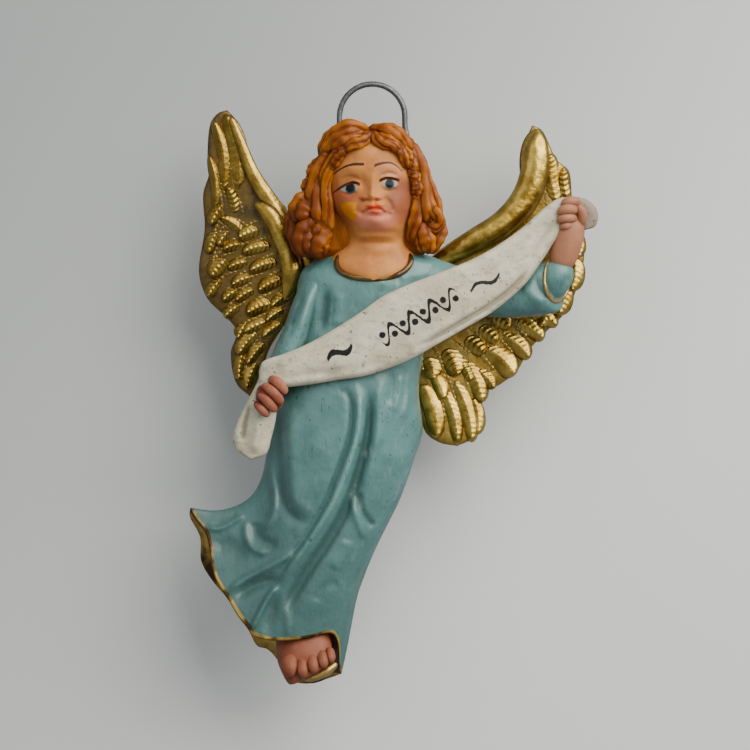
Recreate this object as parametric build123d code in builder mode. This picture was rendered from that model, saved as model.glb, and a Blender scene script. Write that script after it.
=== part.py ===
from build123d import *
import os
from math import cos, radians, sin

# Hanging angel figurine, cast in resin as separate pieces that are glued together.
# Millimetres, +Z up, the figure faces -Y. Right and left are the angel's own.
# The origin is where the wire loop bears on its nail: the top of the loop's inside.

os.makedirs("parts", exist_ok=True)

# ---------------------------------------------------------------- driving sizes
wire_diameter = 1.6
loop_width = 18.4  # between the centrelines of the loop's legs
loop_clear = 10.2  # inside height from the hair's crown to the loop's top
wire_depth = 24.0  # how far the legs run down inside the hair
leg_splay = 1.4  # the left leg steps outwards this much before it enters the hair

head_height = 31.0  # crown of the hair to the chin
head_width = 25.0
head_depth = 23.0
hair_cover = 2.4  # the hair's crown above the skull
neck_length = 5.8  # chin to collar
hair_width = 44.0
hair_depth = 25.0

robe_length = 121.5  # collar to the lowest point of the back hem
robe_width = 43.0  # across the shoulders
robe_depth = 25.0
back_plane = 8.0  # y of the flat back that rests on the wall
front_hem_lift = 14.5  # the front hem stands this much above the back hem
neckline_drop = 7.4
neckline_width = 18.0

wing_height = 95.0
wing_width = 32.0  # of the right wing, outside the shoulder
wing_thickness = 3.0
covert_thickness = 1.2
left_wing_width = 44.0
wing_front = 1.8  # y of the wings' front face at the root
wing_sweep = 4.0  # degrees that each wing leans back from its root
tongue_height = 14.0
tongue_thickness = 2.4
tongue_depth = 7.0  # how far the wing's tongue enters the robe
tongue_lap = 3.0  # how far the tongue runs back into the wing

sleeve_radius = 6.6  # at the upper arm
cuff_radius = 4.3
banner_width = 18.5  # at its widest
banner_thickness = 2.6
finger_radius = 1.5
finger_length = 6.0
foot_width = 14.5
glue_gap = 0.1  # every glued seam

# ---------------------------------------------------------------- derived places
crown_z = -loop_clear
chin_z = crown_z - head_height
collar_z = chin_z - neck_length
hem_z = collar_z - robe_length
shoulder_z = collar_z - 0.08 * robe_length
half_robe = robe_width / 2
wire_radius = wire_diameter / 2


def ellipses(rings, grow=0.0):
    """Sections for a loft: each ring is a plane, a half width and a half depth."""
    sections = []
    for plane, half_width, half_depth in rings:
        with BuildSketch(plane) as section:
            Ellipse(half_width + grow, half_depth + grow)
        sections.append(section.sketch)
    return sections


def flat_ring(x, y, z, width, depth):
    """A level ring about (x, y, z) of that full width and depth."""
    return Plane(origin=(x, y, z)), width / 2, depth / 2


def slanted_ring(left, right, y, depth):
    """A ring whose long axis runs from left to right, two (x, z) points of the outline."""
    across = Vector(right[0] - left[0], 0, right[1] - left[1])
    middle = ((left[0] + right[0]) / 2, y, (left[1] + right[1]) / 2)
    plane = Plane(origin=middle, x_dir=across, z_dir=(-across.Z, 0, across.X))
    return plane, across.length / 2, depth / 2


def capsule(start, end, radius):
    """A finger, toe or wrist: a round rod with round ends."""
    along = Vector(end) - Vector(start)
    with Locations(Plane(origin=start, z_dir=along)):
        Cylinder(radius, along.length, align=(Align.CENTER, Align.CENTER, Align.MIN))
    with Locations(start, end):
        Sphere(radius)


def save(name, builder):
    builder.part.label = name
    export_step(builder.part, f"parts/{name}.step")


# ---------------------------------------------------------------- hanging wire
# One bent wire: a round loop above the head, and two legs cast into the back of the hair.
half_loop = loop_width / 2
loop_centre_z = wire_radius - half_loop
bend_z = crown_z - 1.0
legs_end_z = crown_z - wire_depth
left_leg_x = half_loop + leg_splay

with BuildLine() as wire_path:
    right_leg = Line((-half_loop, 0, legs_end_z), (-half_loop, 0, loop_centre_z))
    crest = ThreePointArc(
        right_leg @ 1, (0, 0, loop_centre_z + half_loop), (half_loop, 0, loop_centre_z)
    )
    left_leg = FilletPolyline(
        crest @ 1,
        (half_loop, 0, bend_z),
        (left_leg_x, 0, bend_z - 6.0),
        (left_leg_x, 0, legs_end_z),
        radius=6.0,
    )


def wire_section(grow=0.0):
    """The wire's round section at its lower right end."""
    with BuildSketch(Plane(origin=wire_path.line @ 0, z_dir=(0, 0, 1))) as section:
        Circle(wire_radius + grow)
    return section.sketch


with BuildPart() as hanging_wire:
    sweep(wire_section(), path=wire_path.line)

# ---------------------------------------------------------------- head
# Skull, face, neck and the top of the chest in one casting; its bust plugs into the robe.
head_x = -0.3
head_y = -9.6


def head_ring(drop, width, depth, x=0.0, y=0.0):
    """A ring of the head, drop being a share of the head's height below the crown."""
    return flat_ring(
        head_x + x, head_y + y, crown_z - drop * head_height, width * head_width, depth * head_depth
    )


bust_bottom_z = collar_z - neckline_drop - 4.0
skull_top_z = crown_z - hair_cover
bust_rings = [
    flat_ring(head_x + 0.9, head_y + 3.0, bust_bottom_z, 0.66 * head_width, 0.46 * head_depth),
    flat_ring(head_x + 0.9, head_y + 2.4, collar_z - 3.5, 0.76 * head_width, 0.54 * head_depth),
    flat_ring(head_x + 1.0, head_y + 2.4, chin_z - 3.0, 0.60 * head_width, 0.52 * head_depth),
]
skull_rings = [
    bust_rings[-1],
    head_ring(0.99, 0.66, 0.68, x=1.0, y=0.4),
    head_ring(0.88, 0.86, 0.88, x=0.6),
    head_ring(0.72, 0.97, 0.98, x=0.3),
    head_ring(0.52, 1.0, 1.0),
    head_ring(0.30, 0.92, 0.90, x=-0.3, y=0.6),
    flat_ring(head_x - 0.5, head_y + 1.2, skull_top_z - 2.2, 0.56 * head_width, 0.54 * head_depth),
    flat_ring(head_x - 0.5, head_y + 1.4, skull_top_z, 0.2 * head_width, 0.2 * head_depth),
]

with BuildPart() as head:
    loft(ellipses(bust_rings))
    loft(ellipses(skull_rings))
    sweep(wire_section(glue_gap), path=wire_path.line, mode=Mode.SUBTRACT)

# ---------------------------------------------------------------- robe
# Torso and windblown skirt in one casting with a flat back. Each ring's two outline points
# are shares of the shoulder width across and of the robe's length down.
robe_y = -3.2
robe_shape = [
    # left across and down, right across and down, depth
    (-0.40, -0.002, 0.46, -0.002, 0.58),
    (-0.68, 0.012, 0.70, 0.010, 0.74),
    (-0.92, 0.038, 0.95, 0.034, 0.90),
    (-0.98, 0.085, 0.94, 0.085, 0.98),
    (-1.00, 0.160, 0.76, 0.160, 1.00),
    (-1.05, 0.240, 0.64, 0.250, 1.00),
    (-1.22, 0.315, 0.61, 0.315, 1.00),
    (-1.35, 0.395, 0.67, 0.380, 1.00),
    (-1.40, 0.460, 0.60, 0.455, 1.00),
    (-1.45, 0.520, 0.47, 0.520, 1.00),
    (-1.58, 0.565, 0.35, 0.580, 0.98),
    (-1.90, 0.592, 0.23, 0.630, 0.96),
    (-2.42, 0.605, 0.05, 0.695, 0.96),
    (-2.60, 0.730, -0.20, 0.810, 0.96),
    (-2.42, 0.870, -0.36, 0.920, 0.92),
    (-2.20, 1.010, -0.44, 1.010, 0.88),
]


def robe_point(across, down):
    return across * half_robe, collar_z - down * robe_length


robe_rings = [
    slanted_ring(robe_point(la, ld), robe_point(ra, rd), robe_y, depth * robe_depth)
    for la, ld, ra, rd, depth in robe_shape
]

# Line of the hem in the front view, from the flying tip at the right down to the foot.
hem_line = [
    (-2.40, 0.595),
    (-2.26, 0.660),
    (-2.23, 0.718),
    (-2.05, 0.768),
    (-1.86, 0.810),
    (-1.63, 0.865),
    (-1.52, 0.912),
    (-1.37, 0.922),
    (-1.14, 0.968),
    (-0.92, 1.000),
    (-0.43, 0.977),
    (0.20, 0.977),
]
below_hem = [(0.20, 1.2), (-3.2, 1.2), (-3.2, 0.595)]

# ---------------------------------------------------------------- wings
# Each wing is a plate with a raised layer of covert feathers and a thick leading edge.
# A tongue on it is glued into a pocket in the robe.
wing_root_z = shoulder_z + 1.0
root_x = 0.79 * half_robe
tongue_z = wing_root_z - tongue_height / 2 - 2.0
tongue_y = wing_front + 0.8

right_wing_outline = [
    # outwards share of the wing's width, height share above its root
    (0.00, 0.07),
    (0.20, 0.19),
    (0.36, 0.24),
    (0.49, 0.31),
    (0.60, 0.39),
    (0.67, 0.47),
    (0.76, 0.495),
    (0.86, 0.49),
    (0.92, 0.46),
    (0.95, 0.36),
    (1.00, 0.25),
    (0.97, 0.12),
    (1.00, 0.00),
    (0.93, -0.08),
    (0.76, -0.14),
    (0.66, -0.18),
    (0.72, -0.24),
    (0.66, -0.33),
    (0.53, -0.375),
    (0.42, -0.32),
    (0.22, -0.23),
    (0.00, -0.15),
]
right_covert_outline = [
    (0.02, 0.06),
    (0.20, 0.17),
    (0.36, 0.22),
    (0.55, 0.27),
    (0.62, 0.20),
    (0.78, 0.08),
    (0.80, -0.03),
    (0.55, -0.10),
    (0.30, -0.16),
    (0.02, -0.12),
]
left_wing_outline = [
    (0.00, 0.03),
    (0.17, 0.085),
    (0.36, 0.155),
    (0.49, 0.205),
    (0.56, 0.27),
    (0.585, 0.39),
    (0.635, 0.445),
    (0.69, 0.44),
    (0.75, 0.385),
    (0.79, 0.34),
    (0.88, 0.31),
    (0.90, 0.23),
    (0.95, 0.15),
    (0.985, 0.06),
    (0.95, -0.03),
    (0.87, -0.11),
    (0.71, -0.185),
    (0.61, -0.245),
    (0.53, -0.29),
    (0.44, -0.315),
    (0.33, -0.345),
    (0.32, -0.40),
    (0.27, -0.455),
    (0.16, -0.51),
    (0.04, -0.495),
    (-0.06, -0.44),
    (-0.10, -0.38),
    (-0.10, -0.25),
]
left_covert_outline = [
    (0.02, 0.02),
    (0.36, 0.13),
    (0.56, 0.20),
    (0.66, 0.28),
    (0.75, 0.20),
    (0.78, 0.04),
    (0.70, -0.08),
    (0.45, -0.17),
    (0.22, -0.26),
    (0.02, -0.22),
]


def wing_plane(side):
    """Front plane of a wing at its root; side is -1 for the right wing and 1 for the left."""
    lean = radians(wing_sweep)
    outwards = Vector(side * cos(lean), sin(lean), 0)
    return Plane(
        origin=(side * root_x, wing_front, wing_root_z),
        x_dir=outwards * -side,
        z_dir=(-side * sin(lean), cos(lean), 0),
    )


def wing_face(side, width, shares, start=0.0):
    """The face of a wing layer, start being its depth behind the front plane."""
    outline = [(-side * out * width, rise * wing_height) for out, rise in shares]
    with BuildSketch(wing_plane(side).offset(start)) as layer:
        with BuildLine():
            Spline(*outline, periodic=True)
        make_face()
    return layer.sketch


def tongue(side, grow=0.0, mode=Mode.ADD):
    """The wing's tongue, or the pocket for it in the robe."""
    centre = (side * (root_x + (tongue_lap - tongue_depth) / 2), tongue_y, tongue_z)
    with Locations(centre):
        Box(
            tongue_depth + tongue_lap + 2 * grow,
            tongue_thickness + 2 * grow,
            tongue_height + 2 * grow,
            mode=mode,
        )


# ---------------------------------------------------------------- arms and sleeves
# Each sleeve is a casting glued to the shoulder, with a bore that the wrist is glued into.
arm_y = robe_y - 2.8
right_arm = [
    # place, radius as a share of the sleeve's radius
    ((-0.74 * half_robe, arm_y, shoulder_z + 0.140 * half_robe), 0.90),
    ((-0.98 * half_robe, arm_y - 0.4, shoulder_z - 0.256 * half_robe), 1.00),
    ((-1.13 * half_robe, arm_y - 0.8, shoulder_z - 0.698 * half_robe), 0.90),
    ((-1.22 * half_robe, arm_y - 1.2, shoulder_z - 1.070 * half_robe), 0.76),
    ((-1.25 * half_robe, arm_y - 1.8, shoulder_z - 1.349 * half_robe), 0.64),
]
left_arm = [
    ((0.55 * half_robe, arm_y, shoulder_z + 0.023 * half_robe), 1.05),
    ((1.20 * half_robe, arm_y - 0.2, shoulder_z - 0.093 * half_robe), 1.00),
    ((1.80 * half_robe, arm_y + 0.6, shoulder_z - 0.158 * half_robe), 0.84),
    ((2.22 * half_robe, arm_y + 0.8, shoulder_z - 0.047 * half_robe), 0.76),
    ((2.46 * half_robe, arm_y + 0.2, shoulder_z + 0.302 * half_robe), 0.64),
]


def arm_sections(stations, grow=0.0):
    """Round sections square to the line that joins their neighbours."""
    sections = []
    for i, (place, share) in enumerate(stations):
        before = Vector(stations[max(i - 1, 0)][0])
        after = Vector(stations[min(i + 1, len(stations) - 1)][0])
        with BuildSketch(Plane(origin=place, z_dir=after - before)) as section:
            Circle(share * sleeve_radius + grow)
        sections.append(section.sketch)
    return sections


with BuildPart() as right_arm_space:
    loft(arm_sections(right_arm, glue_gap))

with BuildPart() as left_arm_space:
    loft(arm_sections(left_arm, glue_gap))


# ---------------------------------------------------------------- banner
# A ribbon across the body, held by both hands, with a free end beyond each hand.
banner_y = robe_y - robe_depth / 2 - banner_thickness / 2 - glue_gap
banner_stations = [
    # across as a share of half_robe, y, rise above the shoulder likewise, share of the width
    (-1.30, banner_y + 3.2, -1.163, 0.50),
    (-1.08, banner_y + 1.6, -1.070, 0.55),
    (-0.55, banner_y + 0.2, -0.893, 0.73),
    (0.00, banner_y, -0.679, 0.96),
    (0.56, banner_y + 0.4, -0.428, 1.00),
    (1.16, banner_y + 2.0, -0.102, 0.93),
    (1.72, banner_y + 4.2, 0.223, 0.76),
    (2.18, banner_y + 6.2, 0.614, 0.54),
    (2.50, banner_y + 7.6, 0.930, 0.42),
]
tail_stations = [
    (-1.44, banner_y + 3.4, -1.605, 0.46),
    (-1.54, banner_y + 3.8, -1.907, 0.60),
    (-1.52, banner_y + 4.2, -2.186, 0.52),
    (-1.48, banner_y + 4.4, -2.307, 0.30),
]
curl_stations = [
    (2.66, banner_y + 9.2, 0.958, 0.40),
    (2.80, banner_y + 10.2, 0.912, 0.46),
    (2.91, banner_y + 11.2, 0.856, 0.30),
]


def ribbon_sections(stations, grow=0.0):
    """Flat sections of the ribbon, each square to the line that joins its neighbours."""
    places = [
        Vector(across * half_robe, y, shoulder_z + rise * half_robe)
        for across, y, rise, _ in stations
    ]
    sections = []
    for i, place in enumerate(places):
        along = places[min(i + 1, len(places) - 1)] - places[max(i - 1, 0)]
        width = stations[i][3] * banner_width + 2 * grow
        thickness = banner_thickness + 2 * grow
        plane = Plane(origin=place, x_dir=along.cross(Vector(0, 0, 1)).cross(along), z_dir=along)
        with BuildSketch(plane) as section:
            RectangleRounded(width, thickness, 0.45 * thickness)
        sections.append(section.sketch)
    return sections


with BuildPart() as banner_space:
    loft(ribbon_sections(banner_stations, glue_gap), ruled=True)

with BuildPart() as tail_space:
    loft(ribbon_sections(tail_stations, glue_gap), ruled=True)

with BuildPart() as curl_space:
    loft(ribbon_sections(curl_stations, glue_gap), ruled=True)

with BuildPart() as banner:
    loft(ribbon_sections(banner_stations), ruled=True)

with BuildPart() as banner_tail:
    loft(ribbon_sections(tail_stations), ruled=True)

with BuildPart() as banner_curl:
    loft(ribbon_sections(curl_stations), ruled=True)
    add(banner_space.part, mode=Mode.SUBTRACT)

# ---------------------------------------------------------------- foot
# The bare foot below the front hem; its ankle plugs into the skirt.
ankle_z = hem_z + front_hem_lift
foot_x = -0.84 * half_robe
foot_y = robe_y - 4.2
sole_z = hem_z + 2.0
foot_rings = [
    flat_ring(foot_x, foot_y + 1.6, ankle_z + 6.0, 0.80 * foot_width, 9.0),
    flat_ring(foot_x, foot_y + 0.8, ankle_z - 1.0, 0.90 * foot_width, 9.6),
    flat_ring(foot_x + 0.2, foot_y, sole_z + 4.0, 0.98 * foot_width, 9.4),
    flat_ring(foot_x + 0.4, foot_y, sole_z, 0.86 * foot_width, 7.0),
]
toes = [
    # across as a share of the foot's width, above the sole, radius
    (-0.32, 0.4, 2.6),
    (-0.06, -0.2, 1.9),
    (0.14, 0.6, 1.7),
    (0.30, 1.9, 1.6),
    (0.43, 3.4, 1.5),
]

# ---------------------------------------------------------------- robe solid
# The hem follows its line in the front view, and the underside slopes back to the wall.
front_y = robe_y - robe_depth / 2
floor_line = [
    # y, z: the underside of the skirt from in front of it to behind it
    (front_y - robe_depth, ankle_z),
    (front_y + 1.0, ankle_z),
    (robe_y + 3.0, hem_z + 1.5),
    (back_plane + robe_depth, hem_z + 0.5),
    (back_plane + robe_depth, hem_z - robe_depth),
    (front_y - robe_depth, hem_z - robe_depth),
]

with BuildPart() as robe_space:
    loft(ellipses(robe_rings, glue_gap), ruled=True)

with BuildPart() as head_space:
    loft(ellipses(bust_rings, glue_gap))
    loft(ellipses(skull_rings, glue_gap))

with BuildPart() as foot_space:
    loft(ellipses(foot_rings, glue_gap))

with BuildPart() as robe:
    loft(ellipses(robe_rings), ruled=True)
    with BuildSketch(Plane.XZ.offset(-2 * robe_depth)):
        with BuildLine():
            Polyline(*[robe_point(*p) for p in hem_line + below_hem], close=True)
        make_face()
    extrude(amount=4 * robe_depth, mode=Mode.SUBTRACT)
    with BuildSketch(Plane.YZ.offset(-3 * robe_width)):
        with BuildLine():
            Polyline(*floor_line, close=True)
        make_face()
    extrude(amount=6 * robe_width, mode=Mode.SUBTRACT)
    split(bisect_by=Plane.XZ.offset(-back_plane), keep=Keep.TOP)
    # neckline, in front of the bust
    with BuildSketch(Plane.XZ.offset(-head_y - 2.0)):
        with Locations((head_x + 0.9, collar_z)):
            Ellipse(neckline_width / 2, neckline_drop)
    extrude(amount=robe_depth, mode=Mode.SUBTRACT)
    add(head_space.part, mode=Mode.SUBTRACT)
    add(foot_space.part, mode=Mode.SUBTRACT)
    for side in (-1, 1):
        tongue(side, glue_gap, Mode.SUBTRACT)

# ---------------------------------------------------------------- hair
# A curly cap over the back and sides of the skull, open in front for the face.
hair_shape = [
    # below the crown as a share of the head's height, x, width, y, depth
    (0.00, -1.0, 0.22, -6.0, 0.40),
    (0.09, -1.5, 0.54, -5.5, 0.80),
    (0.31, -1.0, 0.67, -5.0, 1.00),
    (0.57, -1.3, 0.82, -4.5, 1.00),
    (0.83, -1.0, 0.97, -5.2, 0.96),
    (1.09, -1.0, 0.93, -5.2, 0.86),
    (1.22, -1.0, 0.74, -4.0, 0.70),
]
hair_rings = [
    flat_ring(x, y, crown_z - drop * head_height, width * hair_width, depth * hair_depth)
    for drop, x, width, y, depth in hair_shape
]

with BuildPart() as hair_space:
    loft(ellipses(hair_rings, glue_gap))

# ---------------------------------------------------------------- wing solids
with BuildPart() as right_wing:
    extrude(wing_face(-1, wing_width, right_wing_outline), amount=wing_thickness)
    extrude(wing_face(-1, wing_width, right_covert_outline), amount=-covert_thickness)
    for space in (robe_space, hair_space, right_arm_space):
        add(space.part, mode=Mode.SUBTRACT)
    tongue(-1)

with BuildPart() as left_wing:
    extrude(wing_face(1, left_wing_width, left_wing_outline), amount=wing_thickness)
    extrude(wing_face(1, left_wing_width, left_covert_outline), amount=-covert_thickness)
    for space in (robe_space, hair_space, left_arm_space):
        add(space.part, mode=Mode.SUBTRACT)
    tongue(1)

# ---------------------------------------------------------------- hands
# Each hand is a wrist and palm with four curled fingers, slotted for the banner.
right_palm = Vector(-1.42 * half_robe, arm_y - 6.0, shoulder_z - 1.470 * half_robe)
left_palm = Vector(2.58 * half_robe, arm_y - 3.4, shoulder_z + 0.721 * half_robe)

with BuildPart() as right_hand:
    capsule(right_arm[-1][0], right_palm, cuff_radius)
    for i in range(4):
        knuckle = right_palm + Vector(-1.2 - 0.9 * i, -3.4, 3.6 - 1.9 * i)
        capsule(knuckle, knuckle + Vector(0.75, 0.0, -0.66) * finger_length, finger_radius)
    for space in (robe_space, banner_space, tail_space):
        add(space.part, mode=Mode.SUBTRACT)

with BuildPart() as left_hand:
    capsule(left_arm[-1][0], left_palm, 0.9 * cuff_radius)
    for i in range(4):
        knuckle = left_palm + Vector(-3.0 + 1.0 * i, -2.4 + 0.3 * i, 2.2 + 1.7 * i)
        capsule(knuckle, knuckle + Vector(0.62, 0.1, -0.5) * finger_length, finger_radius)
    for space in (banner_space, curl_space):
        add(space.part, mode=Mode.SUBTRACT)

# ---------------------------------------------------------------- sleeve solids
with BuildPart() as right_sleeve:
    loft(arm_sections(right_arm))
    for space in (robe_space, banner_space, right_hand):
        add(space.part, mode=Mode.SUBTRACT)

with BuildPart() as left_sleeve:
    loft(arm_sections(left_arm))
    for space in (robe_space, banner_space, left_hand):
        add(space.part, mode=Mode.SUBTRACT)

# ---------------------------------------------------------------- foot solid
with BuildPart() as foot:
    loft(ellipses(foot_rings))
    for across, above, radius in toes:
        tip = Vector(foot_x + 0.4 + across * foot_width, foot_y - 3.4, sole_z + above)
        capsule(tip, tip + Vector(0.1 * across * foot_width, -2.6, 0.3), radius)

# ---------------------------------------------------------------- hair solid
face_window = (0.90 * head_width, 1.05 * head_height)

with BuildPart() as hair:
    loft(ellipses(hair_rings))
    with BuildSketch(Plane.XZ.offset(6.0)):
        with Locations((head_x, crown_z - 0.68 * head_height)):
            Ellipse(face_window[0] / 2, face_window[1] / 2)
        with Locations((head_x, chin_z - 8.0)):
            Rectangle(0.8 * face_window[0], 24.0)
    extrude(amount=2 * hair_depth, mode=Mode.SUBTRACT)
    add(head_space.part, mode=Mode.SUBTRACT)
    add(robe_space.part, mode=Mode.SUBTRACT)
    sweep(wire_section(glue_gap), path=wire_path.line, mode=Mode.SUBTRACT)

for name, builder in (
    ("robe", robe),
    ("head", head),
    ("hair", hair),
    ("right_wing", right_wing),
    ("left_wing", left_wing),
    ("right_sleeve", right_sleeve),
    ("left_sleeve", left_sleeve),
    ("right_hand", right_hand),
    ("left_hand", left_hand),
    ("foot", foot),
    ("banner", banner),
    ("banner_tail", banner_tail),
    ("banner_curl", banner_curl),
    ("hanging_wire", hanging_wire),
):
    save(name, builder)
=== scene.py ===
import bmesh
import bpy
import numpy as np
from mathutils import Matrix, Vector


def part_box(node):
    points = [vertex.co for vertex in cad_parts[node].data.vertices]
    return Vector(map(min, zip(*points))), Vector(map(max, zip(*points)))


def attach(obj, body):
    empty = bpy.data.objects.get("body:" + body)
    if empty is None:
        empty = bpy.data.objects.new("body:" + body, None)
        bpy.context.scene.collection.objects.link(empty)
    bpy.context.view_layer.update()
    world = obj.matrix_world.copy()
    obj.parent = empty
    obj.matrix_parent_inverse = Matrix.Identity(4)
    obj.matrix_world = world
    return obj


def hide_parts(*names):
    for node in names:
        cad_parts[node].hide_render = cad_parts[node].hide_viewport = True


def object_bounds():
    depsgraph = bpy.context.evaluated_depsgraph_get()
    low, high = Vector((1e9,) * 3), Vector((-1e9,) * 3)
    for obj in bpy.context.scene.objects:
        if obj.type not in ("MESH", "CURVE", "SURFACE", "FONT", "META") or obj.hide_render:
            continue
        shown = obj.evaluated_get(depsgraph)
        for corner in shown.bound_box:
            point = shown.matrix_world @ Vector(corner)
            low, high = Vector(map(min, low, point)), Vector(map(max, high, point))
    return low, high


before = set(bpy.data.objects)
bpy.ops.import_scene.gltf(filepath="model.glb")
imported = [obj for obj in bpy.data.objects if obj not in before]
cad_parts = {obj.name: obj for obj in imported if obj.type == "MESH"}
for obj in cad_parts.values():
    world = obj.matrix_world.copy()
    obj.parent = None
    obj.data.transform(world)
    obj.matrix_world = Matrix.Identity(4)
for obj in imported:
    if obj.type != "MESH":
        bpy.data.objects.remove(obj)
cad_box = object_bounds()

# ------------------------------------------------------------ wall, light and camera
# A pale wall stands just behind the figurine's flat back, its colour painted darker to the upper
# left and lighter to the lower right as painted shade and light. Only the camera sees it, and only
# from in front. One large soft light stands high on the right and a weaker one on the left.


class Socket:
    """An output of a shader node that can be used in sums: each operator adds its Math node."""

    def __init__(self, tree, output=None):
        self.tree, self.output = tree, output

    def node(self, kind, settings=None, inputs=None, output=0):
        """Adds a node: its settings are made first, then each input gets its value or its link."""
        made = self.tree.nodes.new(kind)
        for name, value in (settings or {}).items():
            setattr(made, name, value)
        for name, value in (inputs or {}).items():
            if isinstance(value, Socket):
                self.tree.links.new(value.output, made.inputs[name])
            else:
                made.inputs[name].default_value = value
        return Socket(self.tree, made.outputs[output])

    def into(self, shader, name):
        """Feeds this output into a socket of a shader or of the material output."""
        self.tree.links.new(self.output, shader.inputs[name])

    def math(self, operation, *others):
        """A Math node with this as its first value."""
        inputs = dict(enumerate((self, *others)))
        return self.node("ShaderNodeMath", {"operation": operation}, inputs)

    def __add__(self, other):
        return self.math("ADD", other)

    def __sub__(self, other):
        return self.math("SUBTRACT", other)

    def __rsub__(self, other):
        return self * -1 + other

    def __mul__(self, other):
        return self.math("MULTIPLY", other)

    def __truediv__(self, other):
        return self.math("DIVIDE", other)

    def __pow__(self, other):
        return self.math("POWER", other)

    def __abs__(self):
        return self.math("ABSOLUTE")

    __radd__ = __add__
    __rmul__ = __mul__

    def least(self, other):
        """The lesser of two values."""
        return self.math("MINIMUM", other)

    def most(self, other):
        """The greater of two values."""
        return self.math("MAXIMUM", other)

    def rise(self, low, high):
        """Eases from 0 at low to 1 at high, or back down where low is the greater."""
        settings = {"interpolation_type": "SMOOTHSTEP"}
        return self.node("ShaderNodeMapRange", settings, {0: self, 1: low, 2: high})

    def mix(self, none, full):
        """The colour none where this is 0 and full where it is 1."""
        inputs = {0: self, 6: none, 7: full}
        return self.node("ShaderNodeMix", {"data_type": "RGBA"}, inputs, output=2)

    def noise(self, scale, detail=2, stretch=(1, 1, 1)):
        """Cloudy noise from 0 to 1 with that many clouds to the millimetre."""
        place = self.node("ShaderNodeVectorMath", {"operation": "MULTIPLY"}, {0: self, 1: stretch})
        inputs = {"Vector": place, "Scale": scale, "Detail": detail}
        return self.node("ShaderNodeTexNoise", None, inputs)

    def split(self):
        """The x, y and z of a vector."""
        parts = self.node("ShaderNodeSeparateXYZ", None, {0: self}).output.node
        return [Socket(self.tree, output) for output in parts.outputs]

    def attribute(self, name):
        """A value that the mesh holds at each point."""
        return self.node("ShaderNodeAttribute", {"attribute_name": name}, output=2)

    def bump(self, strength):
        """A normal for this height in millimetres."""
        inputs = {"Height": self, "Strength": strength, "Distance": 0.001}
        return self.node("ShaderNodeBump", None, inputs)


def paint(name, **constants):
    """A new paint: its material, its shader and each point's place on the object in mm."""
    material = bpy.data.materials.new(name)
    material.use_nodes = True
    shader = material.node_tree.nodes["Principled BSDF"]
    for socket, value in constants.items():
        shader.inputs[socket.replace("_", " ")].default_value = value
    place = Socket(material.node_tree).node("ShaderNodeTexCoord", output="Object")
    scaled = {"Vector": place, "Scale": 1000}
    return material, shader, place.node("ShaderNodeVectorMath", {"operation": "SCALE"}, scaled)


robe_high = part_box("robe")[1]
wall_half, wall_gap = 1.2, 0.02
wall_y = robe_high.y + wall_gap
wall_mesh = bpy.data.meshes.new("wall")
corners = [(x, wall_y, z) for x, z in wall_half * np.array([(-1, -1), (1, -1), (1, 1), (-1, 1)])]
wall_mesh.from_pydata(corners, [], [(0, 1, 2, 3)])
wall = bpy.data.objects.new("wall", wall_mesh)
bpy.context.scene.collection.objects.link(wall)

wall_material, wall_shader, wall_place = paint("wall", Roughness=0.75)
x, _, z = wall_place.split()
# Painted shade and light on the wall: darker to the upper left, lighter to the lower right, in
# soft clouds.
shade = x * 0.002 - z * 0.0016 + wall_place.noise(0.004, 1) * 0.25
shade.rise(-0.15, 0.5).mix(
    (0.36, 0.385, 0.375, 1), (0.76, 0.77, 0.735, 1),
).into(wall_shader, "Base Color")
seen = wall_place.node("ShaderNodeLightPath", output="Is Camera Ray")
behind = wall_place.node("ShaderNodeNewGeometry", output="Backfacing")
clear = wall_place.node("ShaderNodeBsdfTransparent")
matt = Socket(None, wall_shader.outputs[0])
shown = wall_place.node("ShaderNodeMixShader", None, {0: seen * (1 - behind), 1: clear, 2: matt})
shown.into(wall_material.node_tree.nodes["Material Output"], "Surface")
wall_mesh.materials.append(wall_material)

sky = bpy.data.worlds.new("sky")
sky.use_nodes = True
sky.node_tree.nodes["Background"].inputs["Color"].default_value = (0.88, 0.94, 1, 1)
sky.node_tree.nodes["Background"].inputs["Strength"].default_value = 0.36
bpy.context.scene.world = sky

lights = {
    # place, width and height, watts, colour
    "key_light": ((0.58, -0.6, 0.5), (1.3, 1), 22.5, (1, 0.97, 0.92)),
    "fill_light": ((-0.45, -0.7, 0.25), (0.6, 0.6), 0.9, (0.95, 0.97, 1)),
}
look_at = (cad_box[0] + cad_box[1]) / 2
for name, (place, size, watts, colour) in lights.items():
    lamp = bpy.data.lights.new(name, "AREA")
    lamp.shape, lamp.size, lamp.size_y = "RECTANGLE", *size
    lamp.energy, lamp.color = watts, colour
    holder = bpy.data.objects.new(name, lamp)
    holder.location = place
    holder.rotation_euler = (look_at - holder.location).to_track_quat("-Z", "Y").to_euler()
    bpy.context.scene.collection.objects.link(holder)

camera_distance, view_width = 1.5, 0.21
lens = bpy.data.cameras.new("camera")
lens.lens = lens.sensor_width * camera_distance / view_width
camera = bpy.data.objects.new("camera", lens)
camera.location = (0.0008, -0.01 - camera_distance, -0.0812)
camera.rotation_euler = (np.pi / 2, 0, 0)
bpy.context.scene.collection.objects.link(camera)
bpy.context.scene.camera = camera

# ------------------------------------------------------------ robe
# Torso and windblown skirt, cast in resin in one piece with a flat back and an open hem, then
# brushed with semi-gloss aqua paint. Gold paint edges the hem, and the inside is left brown.


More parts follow.
